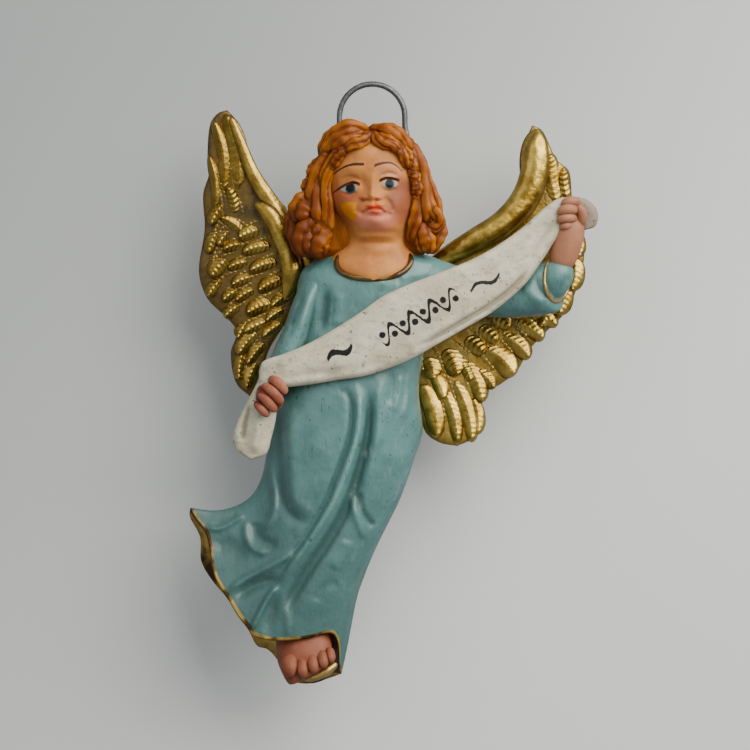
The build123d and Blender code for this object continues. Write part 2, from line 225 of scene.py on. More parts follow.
def curve(points, t):
    """Points at shares t of a smooth line's length: a cubic through each pair of points, whose
    slope at a point is that of the line joining its two neighbours."""
    p = np.asarray(points, float)
    far = np.r_[0, np.cumsum(np.linalg.norm(np.diff(p, axis=0), axis=1))]
    far /= far[-1]
    slope = np.empty_like(p)
    slope[1:-1] = (p[2:] - p[:-2]) / (far[2:] - far[:-2])[:, None]
    slope[0], slope[-1] = (p[1] - p[0]) / far[1], (p[-1] - p[-2]) / (1 - far[-2])
    t = np.clip(t, 0, 1)
    i = np.clip(np.searchsorted(far, t, side="right") - 1, 0, len(p) - 2)
    gap = (far[i + 1] - far[i])[..., None]
    f = (t - far[i])[..., None] / gap
    return (
        (2 * f**3 - 3 * f**2 + 1) * p[i]
        + (f**3 - 2 * f**2 + f) * gap * slope[i]
        + (3 * f**2 - 2 * f**3) * p[i + 1]
        + (f**3 - f**2) * gap * slope[i + 1]
    )


def ease(value, low, high):
    """0 below low, 1 above high, and smooth between."""
    f = np.clip((value - low) / (high - low), 0, 1)
    return f * f * (3 - 2 * f)


def ridge(x, z, path, height, width, fade=0.18):
    """Height of a rounded ridge that follows a path in the front view: height times
    exp(-(distance / width)^2), fading out towards both ends of the path."""
    line = curve(path, np.linspace(0, 1, 60))
    start, step = line[:-1], np.diff(line, axis=0)
    best, along = np.full(x.shape, 1e9), np.zeros(x.shape)
    for i, (a, d) in enumerate(zip(start, step)):
        f = np.clip(((x - a[0]) * d[0] + (z - a[1]) * d[1]) / (d @ d), 0, 1)
        gap = np.hypot(x - a[0] - f * d[0], z - a[1] - f * d[1])
        nearer = gap < best
        best, along = np.where(nearer, gap, best), np.where(nearer, (i + f) / len(step), along)
    shape = np.exp(-((best / width) ** 2))
    return height * shape * ease(along, 0, fade) * ease(1 - along, 0, fade)


def surface(name, *grids, values=()):
    """A mesh from grids of points in mm. A grid may hold several sheets, and after x, y and z
    the values to keep at each point. Rows and columns that meet are welded, so a form that
    closes on itself has no seam."""
    points, faces, count = [], [], 0
    for grid in grids:
        sheets = grid.reshape(-1, *grid.shape[-3:])
        n, rows, columns, _ = sheets.shape
        i = count + np.arange(n * rows * columns).reshape(n, rows, columns)
        corners = (i[:, :-1, :-1], i[:, :-1, 1:], i[:, 1:, 1:], i[:, 1:, :-1])
        faces.append(np.stack(corners, -1).reshape(-1, 4))
        points.append(sheets.reshape(-1, sheets.shape[-1]))
        count += n * rows * columns
    points, faces = np.concatenate(points), np.concatenate(faces)
    mesh = bpy.data.meshes.new(name)
    mesh.from_pydata(points[:, :3] / 1000, [], faces)
    for k, value in enumerate(values):
        layer = mesh.attributes.new(value, "FLOAT", "POINT")
        layer.data.foreach_set("value", points[:, 3 + k].astype(np.float32))
    shape = bmesh.new()
    shape.from_mesh(mesh)
    bmesh.ops.remove_doubles(shape, verts=shape.verts, dist=1e-7)
    bmesh.ops.recalc_face_normals(shape, faces=shape.faces)
    shape.to_mesh(mesh)
    shape.free()
    mesh.polygons.foreach_set("use_smooth", np.ones(len(mesh.polygons), bool))
    piece = bpy.data.objects.new(name, mesh)
    bpy.context.scene.collection.objects.link(piece)
    return piece


def assemble(piece, material, slot, *nodes):
    """Gives a finished piece its paint and its body, and hides the CAD nodes it replaces. The slot
    is not used.
    """
    piece.data.materials.append(material)
    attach(piece, "root")
    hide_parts(*nodes)


robe_left = [
    (-8.5, -46.8), (-14, -48.2), (-19.3, -51.2), (-21.2, -57), (-21.5, -66), (-22.5, -76),
    (-26, -85), (-28.6, -95), (-29.8, -103), (-31, -109.5), (-33.7, -114.8),
    (-38, -117.9), (-44, -119.3), (-51.2, -118.6),
]
robe_right = [
    (10.3, -46.8), (15, -47.6), (20.4, -50.4), (20.5, -56), (17, -65), (14.2, -77),
    (13.2, -86), (14.2, -97), (11.8, -105), (10, -110.5), (7.5, -117), (5, -122),
    (1.5, -129), (-1.5, -136), (-4, -143), (-5.5, -150), (-6.8, -157), (-8.6, -165.3),
]
front_hem = [
    (-51.2, -118.6), (-49.6, -121.5), (-47.2, -124.6), (-45.8, -129), (-45.2, -133.5),
    (-43.8, -138.6), (-40.2, -144.4), (-37.6, -148.8), (-35, -152), (-33.6, -154),
    (-30, -155.3), (-24, -155.5), (-18, -154.9), (-13.5, -153.7), (-10.9, -153.8),
    (-9.6, -156), (-9.2, -160), (-9.2, -164), (-8.6, -165.3),
]
back_hem = [
    (-51.2, -118.6), (-51.4, -121), (-48.6, -127), (-48.3, -133.8), (-45.2, -139.4),
    (-40.8, -144.8), (-38, -149.5), (-35.2, -153.2), (-32.6, -157.8), (-29.6, -158.9),
    (-26.8, -161.8), (-24.6, -165.4), (-21.6, -168), (-16.6, -168.2), (-12, -166.6),
    (-8.6, -165.3),
]
robe_folds = [
    # path in the front view, height, width
    (
        [
            (-8.5, -83), (-4.6, -85.2), (-3.3, -90), (-4.1, -98), (-7.3, -108), (-11.2, -117),
            (-16.5, -125.5), (-22, -133.5), (-27, -142),
        ],
        1.5, 1.5,
    ),
    (
        [
            (-12, -84.5), (-7.2, -86.3), (-5.7, -90.5), (-6.3, -98), (-9.6, -108), (-13.6, -118),
            (-19, -127), (-25, -135.5), (-28, -141),
        ],
        -1.1, 0.9,
    ),
    (
        [
            (-4, -82), (-1.4, -86.5), (-0.9, -93), (-1.7, -100), (-4, -109), (-7.6, -119),
            (-13, -128.5), (-19, -137.5), (-24, -147), (-25, -154),
        ],
        -1.9, 1.9,
    ),
    ([(3.6, -80), (1.6, -88), (1.3, -97), (-0.6, -107), (-2.4, -113)], 0.9, 1.7),
    ([(-3.6, -113.5), (-3.4, -117.5), (-1.2, -121.8), (1.2, -124)], -0.9, 1),
    ([(-5.6, -113.5), (-5.3, -118), (-3.2, -124), (-1.6, -128)], 0.7, 1.1),
    (
        [
            (-25.5, -88), (-25.8, -98), (-25.4, -108), (-24.9, -116), (-21.8, -120.8),
            (-15.5, -122.8),
        ],
        -1.05, 1.7,
    ),
    ([(-22.4, -90), (-22.4, -101), (-22.2, -111), (-20.6, -117), (-15.5, -119.3)], 0.8, 2.4),
    ([(-29.2, -104), (-28.2, -110), (-27.3, -116), (-28.2, -121.5), (-31.5, -126)], 0.9, 0.9),
    ([(-35.6, -121.5), (-35.2, -127), (-32.8, -130.2), (-28.6, -131)], 0.75, 1.1),
    ([(-32.6, -122), (-32.2, -126), (-29.6, -128.2), (-26, -128.6)], -0.8, 1.6),
    ([(-20, -130), (-26.6, -133.6), (-33, -137), (-38.6, -140.6), (-40.3, -143.6)], 1, 1.1),
    ([(-24, -138), (-31, -139.4), (-36, -142), (-38.6, -145.6)], -1.2, 1.7, 0.3),
    ([(-26.2, -139.5), (-29.6, -144.5), (-32.2, -149.5), (-34.2, -153.2)], 1.2, 0.9),
    ([(-26.5, -141), (-28.4, -149), (-29.6, -156)], -0.9, 1.7, 0.4),
    ([(-24.6, -142), (-23.8, -150), (-23.2, -157)], 0.6, 1.3, 0.4),
    ([(-47.2, -123.6), (-43.5, -124.4), (-39.5, -122.6), (-35.5, -120)], 0.8, 0.9),
    ([(-46.5, -129), (-40, -129.5), (-34, -133)], -0.8, 2.6, 0.35),
    ([(8.2, -81), (7.6, -86.5), (5.9, -92)], 0.5, 0.8),
    ([(10.3, -80), (10, -87), (8.6, -94)], 0.4, 0.8),
    ([(5.6, -80), (5.6, -85), (4.4, -89.5)], -0.45, 0.7),
    ([(-12.4, -55), (-13.2, -63), (-14.6, -71)], -1.2, 1.6, 0.35),
    ([(-9.2, -58), (-9.6, -63), (-10.2, -68)], 0.5, 1.6),
    ([(7, -54.5), (13, -53), (18, -52.4)], 0.4, 1.4),
    ([(-6.5, -127), (-8, -131), (-11, -136)], 0.5, 2.2),
    ([(-9, -139), (-13.5, -140.5), (-16, -145)], -0.4, 1.6),
]
robe_axis = -2.2  # y of the robe's widest line
robe_columns, robe_rows, hem_rows = 176, 222, 16

turn = np.linspace(0, np.pi, robe_columns)
across = (1 - np.cos(turn)) / 2
down = np.linspace(0, 1, robe_rows) ** 0.94
left, right = curve(robe_left, down), curve(robe_right, down)


def drape(hem):
    """Front view of the cloth from the shoulders to a hem: each row joins the left edge to the
    right edge, and leaves that straight line for the hem by the cube of its share of the way."""
    line = curve(hem, np.linspace(0, 1, robe_columns))
    flat = left[-1] + across[:, None] * (right[-1] - left[-1])
    rows = left[:, None] + across[None, :, None] * (right - left)[:, None]
    return rows + (down**3)[:, None, None] * (line - flat)


thick = np.interp(down, [0, 0.06, 0.14, 0.5, 0.8, 1], [8.5, 11.2, 13.4, 13.5, 12.6, 10.6])
swell = np.sin(turn) ** 0.72
robe_front, robe_back = drape(front_hem), drape(back_hem)
fold = sum(ridge(robe_front[..., 0], robe_front[..., 1], *f) for f in robe_folds)
from_neck = np.hypot((robe_front[..., 0] - 0.6) / 10.4, (robe_front[..., 1] + 47) / 8)
neckline = ease(1 - from_neck, 0, 0.25)
fall = 1 - 0.55 * ease(down, 0.5, 0.95)[:, None] * (1 - across[None, :]) ** 1.3
front_y = robe_axis - fall * thick[:, None] * swell - fold * ease(swell, 0, 0.5) + 2.5 * neckline
back_y = np.minimum(robe_axis + 0.86 * thick[:, None] * swell, robe_high.y * 1000)
hem = np.maximum(0, 10 - (1 - down)[:, None] * 125) + 0 * front_y
lip = np.linspace(0, 1, hem_rows)[:, None, None]
inward = 7 * np.sin(np.pi * lip) ** 0.5 * swell[:, None]
up = robe_front[-14] - robe_front[-1]
up /= np.maximum(np.linalg.norm(up, axis=1), 1e-6)[:, None]
rim = (1 - lip) * robe_front[-1] + lip * robe_back[-1] + inward * up
rim_y = (1 - lip[..., 0]) * front_y[-1] + lip[..., 0] * back_y[-1]


def sheet(plan, depth, *more):
    """A grid of x, y and z from a front view and its depths, with more values after them."""
    return np.stack([plan[..., 0], depth, plan[..., 1], *more], -1)


shut = np.zeros((2, 2, robe_columns))
robe = surface(
    "robe_cast",
    sheet(robe_front, front_y, hem, fold),
    sheet(rim, rim_y, 11 + 3 * np.sin(np.pi * lip[..., 0]) + 0 * rim_y, 0 * rim_y),
    sheet(robe_back, back_y, hem, 0 * fold),
    sheet(np.stack([robe_front[0], robe_back[0]]), np.stack([front_y[0], back_y[0]]), *shut),
    values=("hem", "fold"),
)


def aqua_paint(name):
    """Semi-gloss aqua: darker in the hollows from dirt and painted shade, lighter on the ridges as
    painted highlight, and painted shade towards the lower left; brushed unevenly, with dark
    hairlines and specks, gold at the hem and brown inside it."""
    material, shader, place = paint(name, Coat_Weight=0.28, Coat_Roughness=0.16)
    fold, hem = place.attribute("fold"), place.attribute("hem")
    cloud, fine = place.noise(0.12, 3), place.noise(0.9, 3, (1, 1, 0.35))
    colour = cloud.rise(0.3, 0.7).mix((0.076, 0.19, 0.176, 1), (0.116, 0.266, 0.244, 1))
    # Dirt and painted shade in the hollows of the folds, then painted highlight on their ridges.
    colour = (fold.rise(0.1, -1.5) * 0.85).mix(colour, (0.024, 0.075, 0.065, 1))
    colour = fold.rise(0.5, 1.6).mix(colour, (0.16, 0.345, 0.3, 1))
    grime = place.noise(0.3, 4).rise(0.5, 0.72) * place.noise(0.04, 1).rise(0.4, 0.62)
    colour = (grime * 0.65).mix(colour, (0.046, 0.1, 0.08, 1))
    rub = place.noise(0.45, 4, (1, 1, 0.4)).rise(0.58, 0.72)
    colour = (rub * 0.35).mix(colour, (0.26, 0.36, 0.32, 1))
    scratch = place.noise(0.7, 5, (2.6, 1, 0.5)).rise(0.66, 0.7)
    colour = (scratch * 0.8).mix(colour, (0.036, 0.056, 0.04, 1))
    speck = place.noise(1.3, 0).rise(0.8, 0.82)
    colour = speck.mix(colour, (0.05, 0.08, 0.06, 1))
    x, _, z = place.split()
    # Painted shade: the skirt darker towards its lower left.
    colour = ((x * -0.8 - z).rise(95, 170) * 0.75).mix(colour, (0.036, 0.098, 0.086, 1))
    edge = (hem - cloud * 1.2).rise(7.9, 8.3)
    gold = place.noise(0.14, 3).rise(0.38, 0.56).mix(
        (0.08, 0.038, 0.007, 1), (0.56, 0.37, 0.08, 1),
    )
    brown = hem.rise(11.4, 12.4).mix(gold, (0.055, 0.022, 0.01, 1))
    edge.mix(colour, brown).into(shader, "Base Color")
    (edge * 0.85 * hem.rise(12.6, 11.6)).into(shader, "Metallic")
    (0.34 + fine * 0.2 + edge * 0.04).into(shader, "Roughness")
    (fine * 0.16 + place.noise(0.35, 2) * 0.35).bump(0.6).into(shader, "Normal")
    return material


robe_paint = aqua_paint("aqua_paint")
assemble(robe, robe_paint, "robe", "robe")

# ------------------------------------------------------------ head
# Doll-like head, neck and upper chest from the same casting, in semi-matt peach with a blush.
# Brows, lids, eyes and lips are brushed on, and one cheek shows a patch of bare ochre ground.


def at_height(z, keys):
    """The value at each height, from a smooth line through (height, value) keys, top first."""
    line = curve(keys, np.linspace(0, 1, 300))
    return np.interp(-z, -line[:, 0], line[:, 1])


def swell_at(x, z, middle, size, height):
    """Height of a soft bump: height times exp(-(across / size)^2), elliptical in x and z."""
    return height * np.exp(-(((x - middle[0]) / size[0]) ** 2) - ((z - middle[1]) / size[1]) ** 2)


def bulb(z, left, right, middle, front, back, columns):
    """Rings one above another, each half an ellipse in front and half behind, between a left and
    a right edge. The columns lie closer together in front."""
    u = np.linspace(-1, 1, columns)
    turn = np.pi * (0.62 * u + 0.38 * u**3)
    centre, half = ((left + right) / 2)[:, None], ((right - left) / 2)[:, None]
    depth = np.where(np.cos(turn) > 0, (middle - front)[:, None], (back - middle)[:, None])
    x = centre + half * np.sin(turn)
    y = middle[:, None] - depth * np.sign(np.cos(turn)) * np.abs(np.cos(turn)) ** 0.86
    return np.stack([x, y, z[:, None] + 0 * x], -1)


face_left = [
    (-12.6, -1), (-13.2, -5), (-15, -8.4), (-18, -11), (-22, -12.6), (-27, -13.1),
    (-31, -12.9), (-34.5, -11.6), (-37.5, -9.2), (-40, -7.4), (-42.5, -7), (-45, -7.8),
    (-47, -10.4), (-49, -12), (-51, -12), (-52.6, -10.6), (-53.8, -8.2), (-54.6, -2.4),
    (-54.8, 0.2),
]
face_right = [
    (-12.6, 0.6), (-13.2, 4.6), (-15, 7.8), (-18, 10.2), (-22, 11.7), (-27, 12.6), (-31, 12.6),
    (-34.5, 11.9), (-37.5, 10.6), (-40, 9.6), (-42.5, 9.3), (-45, 9.8), (-47, 11.6), (-49, 12.8),
    (-51, 12.6), (-52.6, 11.2), (-53.8, 8.6), (-54.6, 3), (-54.8, 0.3),
]
face_profile = [
    (-12.6, -11), (-13.2, -14), (-15, -17), (-18, -19.1), (-22, -20), (-26, -20),
    (-29, -19.4), (-32, -19.5), (-35.5, -19.6), (-38, -19.5), (-40, -18.7), (-41.6, -16.9),
    (-43.2, -15.4), (-45, -14.9), (-47.5, -14.9), (-50, -15.6), (-53, -16.4), (-54.8, -16.2),
]
face_bumps = [
    # place, size, height
    ((-0.1, -31.4), (1.35, 1.15), 1.75), ((0.1, -29.4), (1.1, 2.2), 0.9),
    ((0.3, -26.2), (1.3, 2.4), 0.45), ((-2.2, -32), (0.9, 0.8), 0.75),
    ((1.9, -31.8), (0.9, 0.8), 0.75), ((-1.1, -32.7), (0.5, 0.35), -0.5),
    ((1, -32.6), (0.5, 0.35), -0.5), ((-6.4, -27.6), (3.6, 1.9), -1.25),
    ((4.9, -26.9), (3.4, 1.9), -1.15), ((-6.4, -28.9), (2.5, 1.3), 0.95),
    ((4.8, -28), (2.3, 1.3), 0.95), ((-2.6, -27.4), (0.9, 1.8), -0.5),
    ((2.2, -27), (0.9, 1.8), -0.45), ((-6.6, -23.6), (3.6, 1.3), 0.35),
    ((4.6, -23.2), (3.4, 1.3), 0.35), ((-8.2, -34.6), (3.5, 2.9), 1.15),
    ((8.4, -33.8), (3.3, 2.9), 1.05), ((1.4, -38.4), (2.4, 1.6), 1.15),
    ((0.7, -34.4), (3, 1.9), 0.75), ((-0.4, -34.1), (1, 0.6), 0.65),
    ((2.1, -33.9), (1, 0.6), 0.65), ((0.95, -35.75), (1.7, 0.62), 0.9),
    ((1, -37), (1.8, 0.5), -0.55), ((0.7, -33.1), (0.35, 0.6), -0.3),
    ((-3, -36.2), (0.8, 0.7), -0.5), ((4.5, -36.4), (0.8, 0.7), -0.5),
    ((1.2, -42.6), (6.5, 0.9), 0.8), ((1.2, -44.4), (6, 0.7), -0.4),
    ((-0.3, -18.5), (5.5, 2.8), 0.3), ((2, -46.5), (3, 1.5), 0.35),
]
face_creases = [
    # path, height, width
    ([(-2.5, -36), (-0.8, -35), (0.8, -34.95), (2.3, -35.1), (3.9, -36.2)], -0.75, 0.36),
    ([(-10.6, -29.9), (-8, -28.3), (-6, -27.3), (-4, -27.5), (-3.3, -28.2)], 0.55, 0.42),
    ([(1.9, -27), (4.3, -26), (7.6, -26.7)], 0.55, 0.42),
    ([(-9.6, -27.3), (-7, -26), (-4.6, -26.2), (-3.2, -27.2)], -0.35, 0.45),
    ([(2.2, -25.8), (4.6, -24.9), (7.4, -25.5)], -0.35, 0.45),
    ([(-8.8, -30.4), (-6.4, -31), (-4, -30.2)], -0.3, 0.5),
    ([(2.6, -29.3), (4.8, -30), (7, -29.2)], -0.3, 0.5),
    ([(-2.9, -31.8), (-4.2, -34), (-4.4, -36.4)], -0.35, 0.8),
    ([(2.9, -31.6), (4.9, -33.4), (5.9, -36)], -0.35, 0.8),
]
head_rows, head_columns = 240, 230
z = np.linspace(-12.6, -54.8, head_rows)
head = bulb(
    z,
    at_height(z, face_left),
    at_height(z, face_right),
    np.interp(-z, [12, 40, 48, 55], [-8, -8, -7, -9]),
    at_height(z, face_profile),
    np.interp(-z, [12, 16, 30, 44, 55], [-4, 0, 1, -1, -6]),
    head_columns,
)
x, z = head[..., 0], head[..., 2]
relief = sum(swell_at(x, z, *bump) for bump in face_bumps)
relief += sum(ridge(x, z, *crease) for crease in face_creases)
u = np.linspace(-1, 1, head_columns)
head[..., 1] -= relief * ease(0.45 - np.abs(u), 0, 0.25)
head = surface("head_cast", head)


def skin_paint(name, low, high):
    """Semi-matt skin between two tones, with painted shade in dark red where limbs press together.
    """
    material, shader, place = paint(name, Specular_IOR_Level=0.22)
    cloud, fine = place.noise(0.22, 3), place.noise(1.4, 3)
    skin = cloud.rise(0.32, 0.68).mix(low, high)
    # Painted shade: dark red where a finger, toe or palm meets its neighbour.
    skin = (place.attribute("crease").rise(0.1, 0.8) * 0.85).mix(skin, (0.1, 0.012, 0.008, 1))
    (0.34 + fine * 0.2).into(shader, "Roughness")
    (fine * 0.1 + cloud * 0.3).bump(0.5).into(shader, "Normal")
    return material, shader, place, skin


def spot(x, z, middle, size, soft=0.3):
    """1 inside an ellipse, 0 outside, with an edge as soft as that share of its size."""
    far = ((x - middle[0]) / size[0]) ** 2 + ((z - middle[1]) / size[1]) ** 2
    return far.rise(1 + soft, 1 - soft)


face_paint, shader, place, skin = skin_paint(
    "face_paint", (0.49, 0.175, 0.042, 1), (0.63, 0.245, 0.06, 1)
)
x, y, z = place.split()
shake = (place.noise(1.6, 3) - 0.5) * 0.25
x, z = x + shake, z + shake
face = y.rise(-11, -14)
for middle, size, colour, strength in [
    # Blush and painted shade: the first spot, large and brown, darkens the left cheek.
    ((-9, -34), (6.5, 7.5), (0.26, 0.05, 0.016, 1), 0.6),
    ((8.8, -32.5), (5, 6.5), (0.22, 0.05, 0.034, 1), 0.75),
    ((1.2, -38), (5.6, 3.2), (0.6, 0.19, 0.12, 1), 0.8),
    ((5, -24.4), (3.6, 1.8), (0.66, 0.28, 0.15, 1), 0.6),
    ((-4.2, -37), (1.6, 1.8), (0.62, 0.16, 0.12, 1), 0.6),
    ((-7.6, -31.4), (3, 1.1), (0.42, 0.085, 0.045, 1), 0.5),
    ((-2.2, -32.3), (0.9, 0.7), (0.34, 0.045, 0.03, 1), 0.8),
    ((1.7, -32.3), (0.9, 0.6), (0.4, 0.06, 0.04, 1), 0.7),
    ((0.7, -34.95), (2.3, 0.4), (0.3, 0.03, 0.015, 1), 0.7),
    ((-2, -35.6), (0.7, 0.5), (0.3, 0.04, 0.02, 1), 0.8),
    ((3.3, -35.8), (0.7, 0.5), (0.3, 0.04, 0.02, 1), 0.8),
    ((0.7, -34.3), (2.2, 0.7), (0.66, 0.06, 0.026, 1), 0.9),
    ((0.8, -35.7), (1.6, 0.65), (0.72, 0.1, 0.045, 1), 0.9),
]:
    skin = (spot(x, z, middle, size, 0.75) * face * strength).mix(skin, colour)
for white, iris, pupil in [
    (((-6.5, -29.2), (2.3, 1.1)), ((-6, -29.3), (1.45, 1.45)), ((-6.1, -29), (1.1, 1.2))),
    (((4.9, -27.9), (2.2, 1.1)), ((4.9, -28), (1.3, 1.4)), ((4.8, -27.8), (1, 1.2))),
]:
    skin = (spot(x, z, *white, 0.3) * face).mix(skin, (0.34, 0.33, 0.27, 1))
    skin = (spot(x, z, *iris, 0.25) * face).mix(skin, (0.02, 0.07, 0.085, 1))
    skin = (spot(x, z, *pupil, 0.18) * face).mix(skin, (0.004, 0.005, 0.008, 1))
strokes = [
    # height of the line above its stroke, half width, and its two ends
    (z + 22.55 + (x + 4.5).least(0) ** 2 * 0.069, 0.38 + (x + 4.5).least(0) * 0.035, -10.9, -2.2),
    (
        z + 22.1 + (x - 4.5).least(0) ** 2 * 0.06 + (x - 4.5).most(0) ** 2 * 0.16,
        0.4 - (x - 1).most(0) * 0.035, 0.5, 8.4,
    ),
    (
        z + 27.6 + (x + 5.3).most(0) ** 2 * 0.16 + (-5.3 - x).most(0) ** 1.5 * 0.21,
        0.42 - (-7.8 - x).most(0) * 0.08, -11, -3.3,
    ),
    (
        z + 26.35 + (4.3 - x).most(0) ** 2 * 0.17 + (x - 4.3).most(0) ** 2 * 0.058, 0.42 + x * 0,
        1.9, 7.7,
    ),
]
for line, half, start, end in strokes:
    within = x.rise(start - 0.1, start + 0.2) * x.rise(end + 0.1, end - 0.2)
    mask = (abs(line) - half).rise(0.14, -0.1) * within
    skin = (mask * face * 0.95).mix(skin, (0.045, 0.009, 0.004, 1))
ragged = (place.noise(0.5, 2) - 0.5) * 2.6
slope = x + 8.4 - (-35.4 - z).most(0) * 0.88
bare = (z + ragged).rise(-33.1, -33.4) * (x + ragged).rise(-4.3, -4.6)
bare = bare * (slope + ragged).rise(-0.2, 0.3)
skin = (bare * z.rise(-38.6, -38.2) * face).mix(skin, (0.6, 0.2, 0.002, 1))
skin.into(shader, "Base Color")
assemble(head, face_paint, "skin", "head")

# ------------------------------------------------------------ collar trim
# Narrow raised edge of the neckline, part of the casting, painted brownish gold by brush.


def resting(x, z):
    """Depth of the robe's front where the view from the front shows the point x, z."""
    gap = np.hypot(robe_front[..., 0] - x, robe_front[..., 1] - z)
    return front_y.flat[gap.argmin()]


def tubes(paths, rows, columns, flat=1, strands=0, groove=0, twist=0, waves=0, swing=0):
    """Tubes with rounded ends along smooth paths of (x, y, z, radius), each a sheet of one grid.
    Strands are grooves along a tube: its radius times 1 + groove * cos(strands * angle + twist *
    share of length). Waves swell it: times 1 + swing * sin(2 pi * waves * share). After x, y, z
    comes the crease, 1 where a tube's skin meets a neighbour and 0 away from it, and then the
    depth of the groove from 0 to 1."""
    share = (1 - np.cos(np.linspace(0, np.pi, rows))) / 2
    angle = np.linspace(0, 2 * np.pi, columns)
    lines = np.stack([curve(path, share) for path in paths])
    heading = np.gradient(lines[..., :3], axis=1)
    heading /= np.linalg.norm(heading, axis=2, keepdims=True)
    side = np.cross(heading, [0, 1, 0])
    side /= np.linalg.norm(side, axis=2, keepdims=True)
    front = np.cross(side, heading)
    length = np.linalg.norm(np.diff(lines[..., :3], axis=1), axis=2).sum(1)
    blunt = np.maximum(2, length / lines[..., 3].mean(1))[:, None]
    cap = np.sqrt(np.maximum(0, 1 - np.abs(2 * share - 1) ** blunt))
    radius = lines[..., 3] * cap * (1 + swing * np.sin(2 * np.pi * waves * share))
    strand = np.ones((rows, columns))
    if strands:
        strand = np.cos(strands * angle + twist * share[:, None])
    cosine, sine = np.cos(angle)[:, None], flat * np.sin(angle)[:, None]
    ring = cosine * side[:, :, None] + sine * front[:, :, None]
    skin = lines[:, :, None, :3] + (radius[..., None] * (1 + groove * strand))[..., None] * ring
    crease = np.zeros(skin.shape[:3])
    for i in range(len(paths)):
        others = np.delete(lines, i, 0)[:, ::3].reshape(-1, 4)
        if len(others):
            gap = np.linalg.norm(skin[i][:, :, None] - others[:, :3], axis=3) - others[:, 3]
            crease[i] = np.exp(-((gap.min(-1) / 0.35) ** 2))
    depth = np.broadcast_to((1 - strand) / 2, crease.shape)
    return np.concatenate([skin, crease[..., None], depth[..., None]], -1)


collar_line = [
    (-7.9, -47.2), (-9.3, -48.2), (-9.9, -50), (-9.2, -51.9), (-6.9, -53.4), (-3.6, -54.2),
    (0.2, -54.4), (4, -54.2), (7.2, -53.2), (9.7, -51.5), (10.9, -49.4), (10.4, -47.9),
    (8.6, -47.3),
]
collar_path = [(x, resting(x, z) - 0.35, z, 0.78) for x, z in collar_line]
collar = surface(
    "collar_trim", tubes([collar_path], 160, 13, flat=0.8), values=("crease", "groove"),
)


def gold_paint(name, dark, bright, shine):
    """Gold paint brushed over a brown ground: bright on what stands proud, rubbed through and
    brown in the hollows, which the mesh gives as recess and which also holds painted shade.
    Painted shade darkens it more and more from x = -26 mm to -42 mm, over the right wing."""
    material, shader, place = paint(name, Coat_Weight=0.3, Coat_Roughness=0.1)
    cloud, fine = place.noise(0.25, 3), place.noise(0.9, 3)
    # Wear and painted shade: brown where the recess is deep.
    wear_and_shade = (place.attribute("recess") + (cloud - 0.5) * 0.5 + (fine - 0.5) * 0.2).rise(0.28, 0.8)
    x, _, z = place.split()
    # Painted shade over the right wing, darker further left.
    right_side_shade = x.rise(-26, -42) * (0.6 + cloud * 0.4) * 0.75
    gold = right_side_shade.mix(cloud.rise(0.3, 0.7).mix(dark, bright), (0.2, 0.115, 0.012, 1))
    wear_and_shade.mix(gold, (0.036, 0.016, 0.002, 1)).into(shader, "Base Color")
    (shine - wear_and_shade * 0.65 * shine).into(shader, "Metallic")
    (0.22 + fine * 0.16 + wear_and_shade * 0.22).into(shader, "Roughness")
    (fine * 0.12 + cloud * 0.5).bump(0.6).into(shader, "Normal")
    return material


trim_paint = gold_paint("trim_paint", (0.055, 0.025, 0.004, 1), (0.16, 0.085, 0.014, 1), 0.5)
assemble(collar, trim_paint, "gold")

# ------------------------------------------------------------ hair
# Parted wavy hair down to the shoulders: thick modelled locks over a smooth mass, in semi-matt
# orange with painted shade, red-brown, in the gaps, in the strand grooves and over the lower left.
# The back is plain wavy relief, close to the wall.

hair_left = [
    (-11.6, -3), (-12.4, -7), (-15.5, -11.4), (-21, -14.4), (-26, -16.8), (-31, -18.6),
    (-35, -20.6), (-40, -22), (-44, -21), (-48, -18), (-49, -15),
]
hair_right = [
    (-11.6, 1), (-12.4, 5.4), (-15, 8.2), (-20, 11.6), (-25, 13.6), (-31, 15.4), (-36, 18),
    (-41, 19), (-45, 17), (-48, 13), (-49, -12),
]
z = np.linspace(-11.6, -49, 150)
mass = bulb(
    z,
    at_height(z, hair_left),
    at_height(z, hair_right),
    np.interp(-z, [11, 30, 49], [-7, -6, -6.5]),
    np.interp(-z, [11, 14, 24, 36, 46, 49], [-10, -14.5, -15, -13, -11, -8]),
    np.interp(-z, [11, 16, 24, 40, 49], [-4, -1, 1, 0.6, -3]),
    200,
)
phase = mass[..., 0] * 1.15 + 1.4 * np.sin(mass[..., 2] * 0.42)
mass[..., 1] += 0.45 * np.cos(phase) * (mass[..., 1] > -6)
# The mass keeps a crease of 0.35 and a groove from its waves, which the hair paint turns into
# painted shade.
mass_values = np.stack([0 * phase + 0.35, 0.5 - 0.5 * np.cos(phase)], -1)
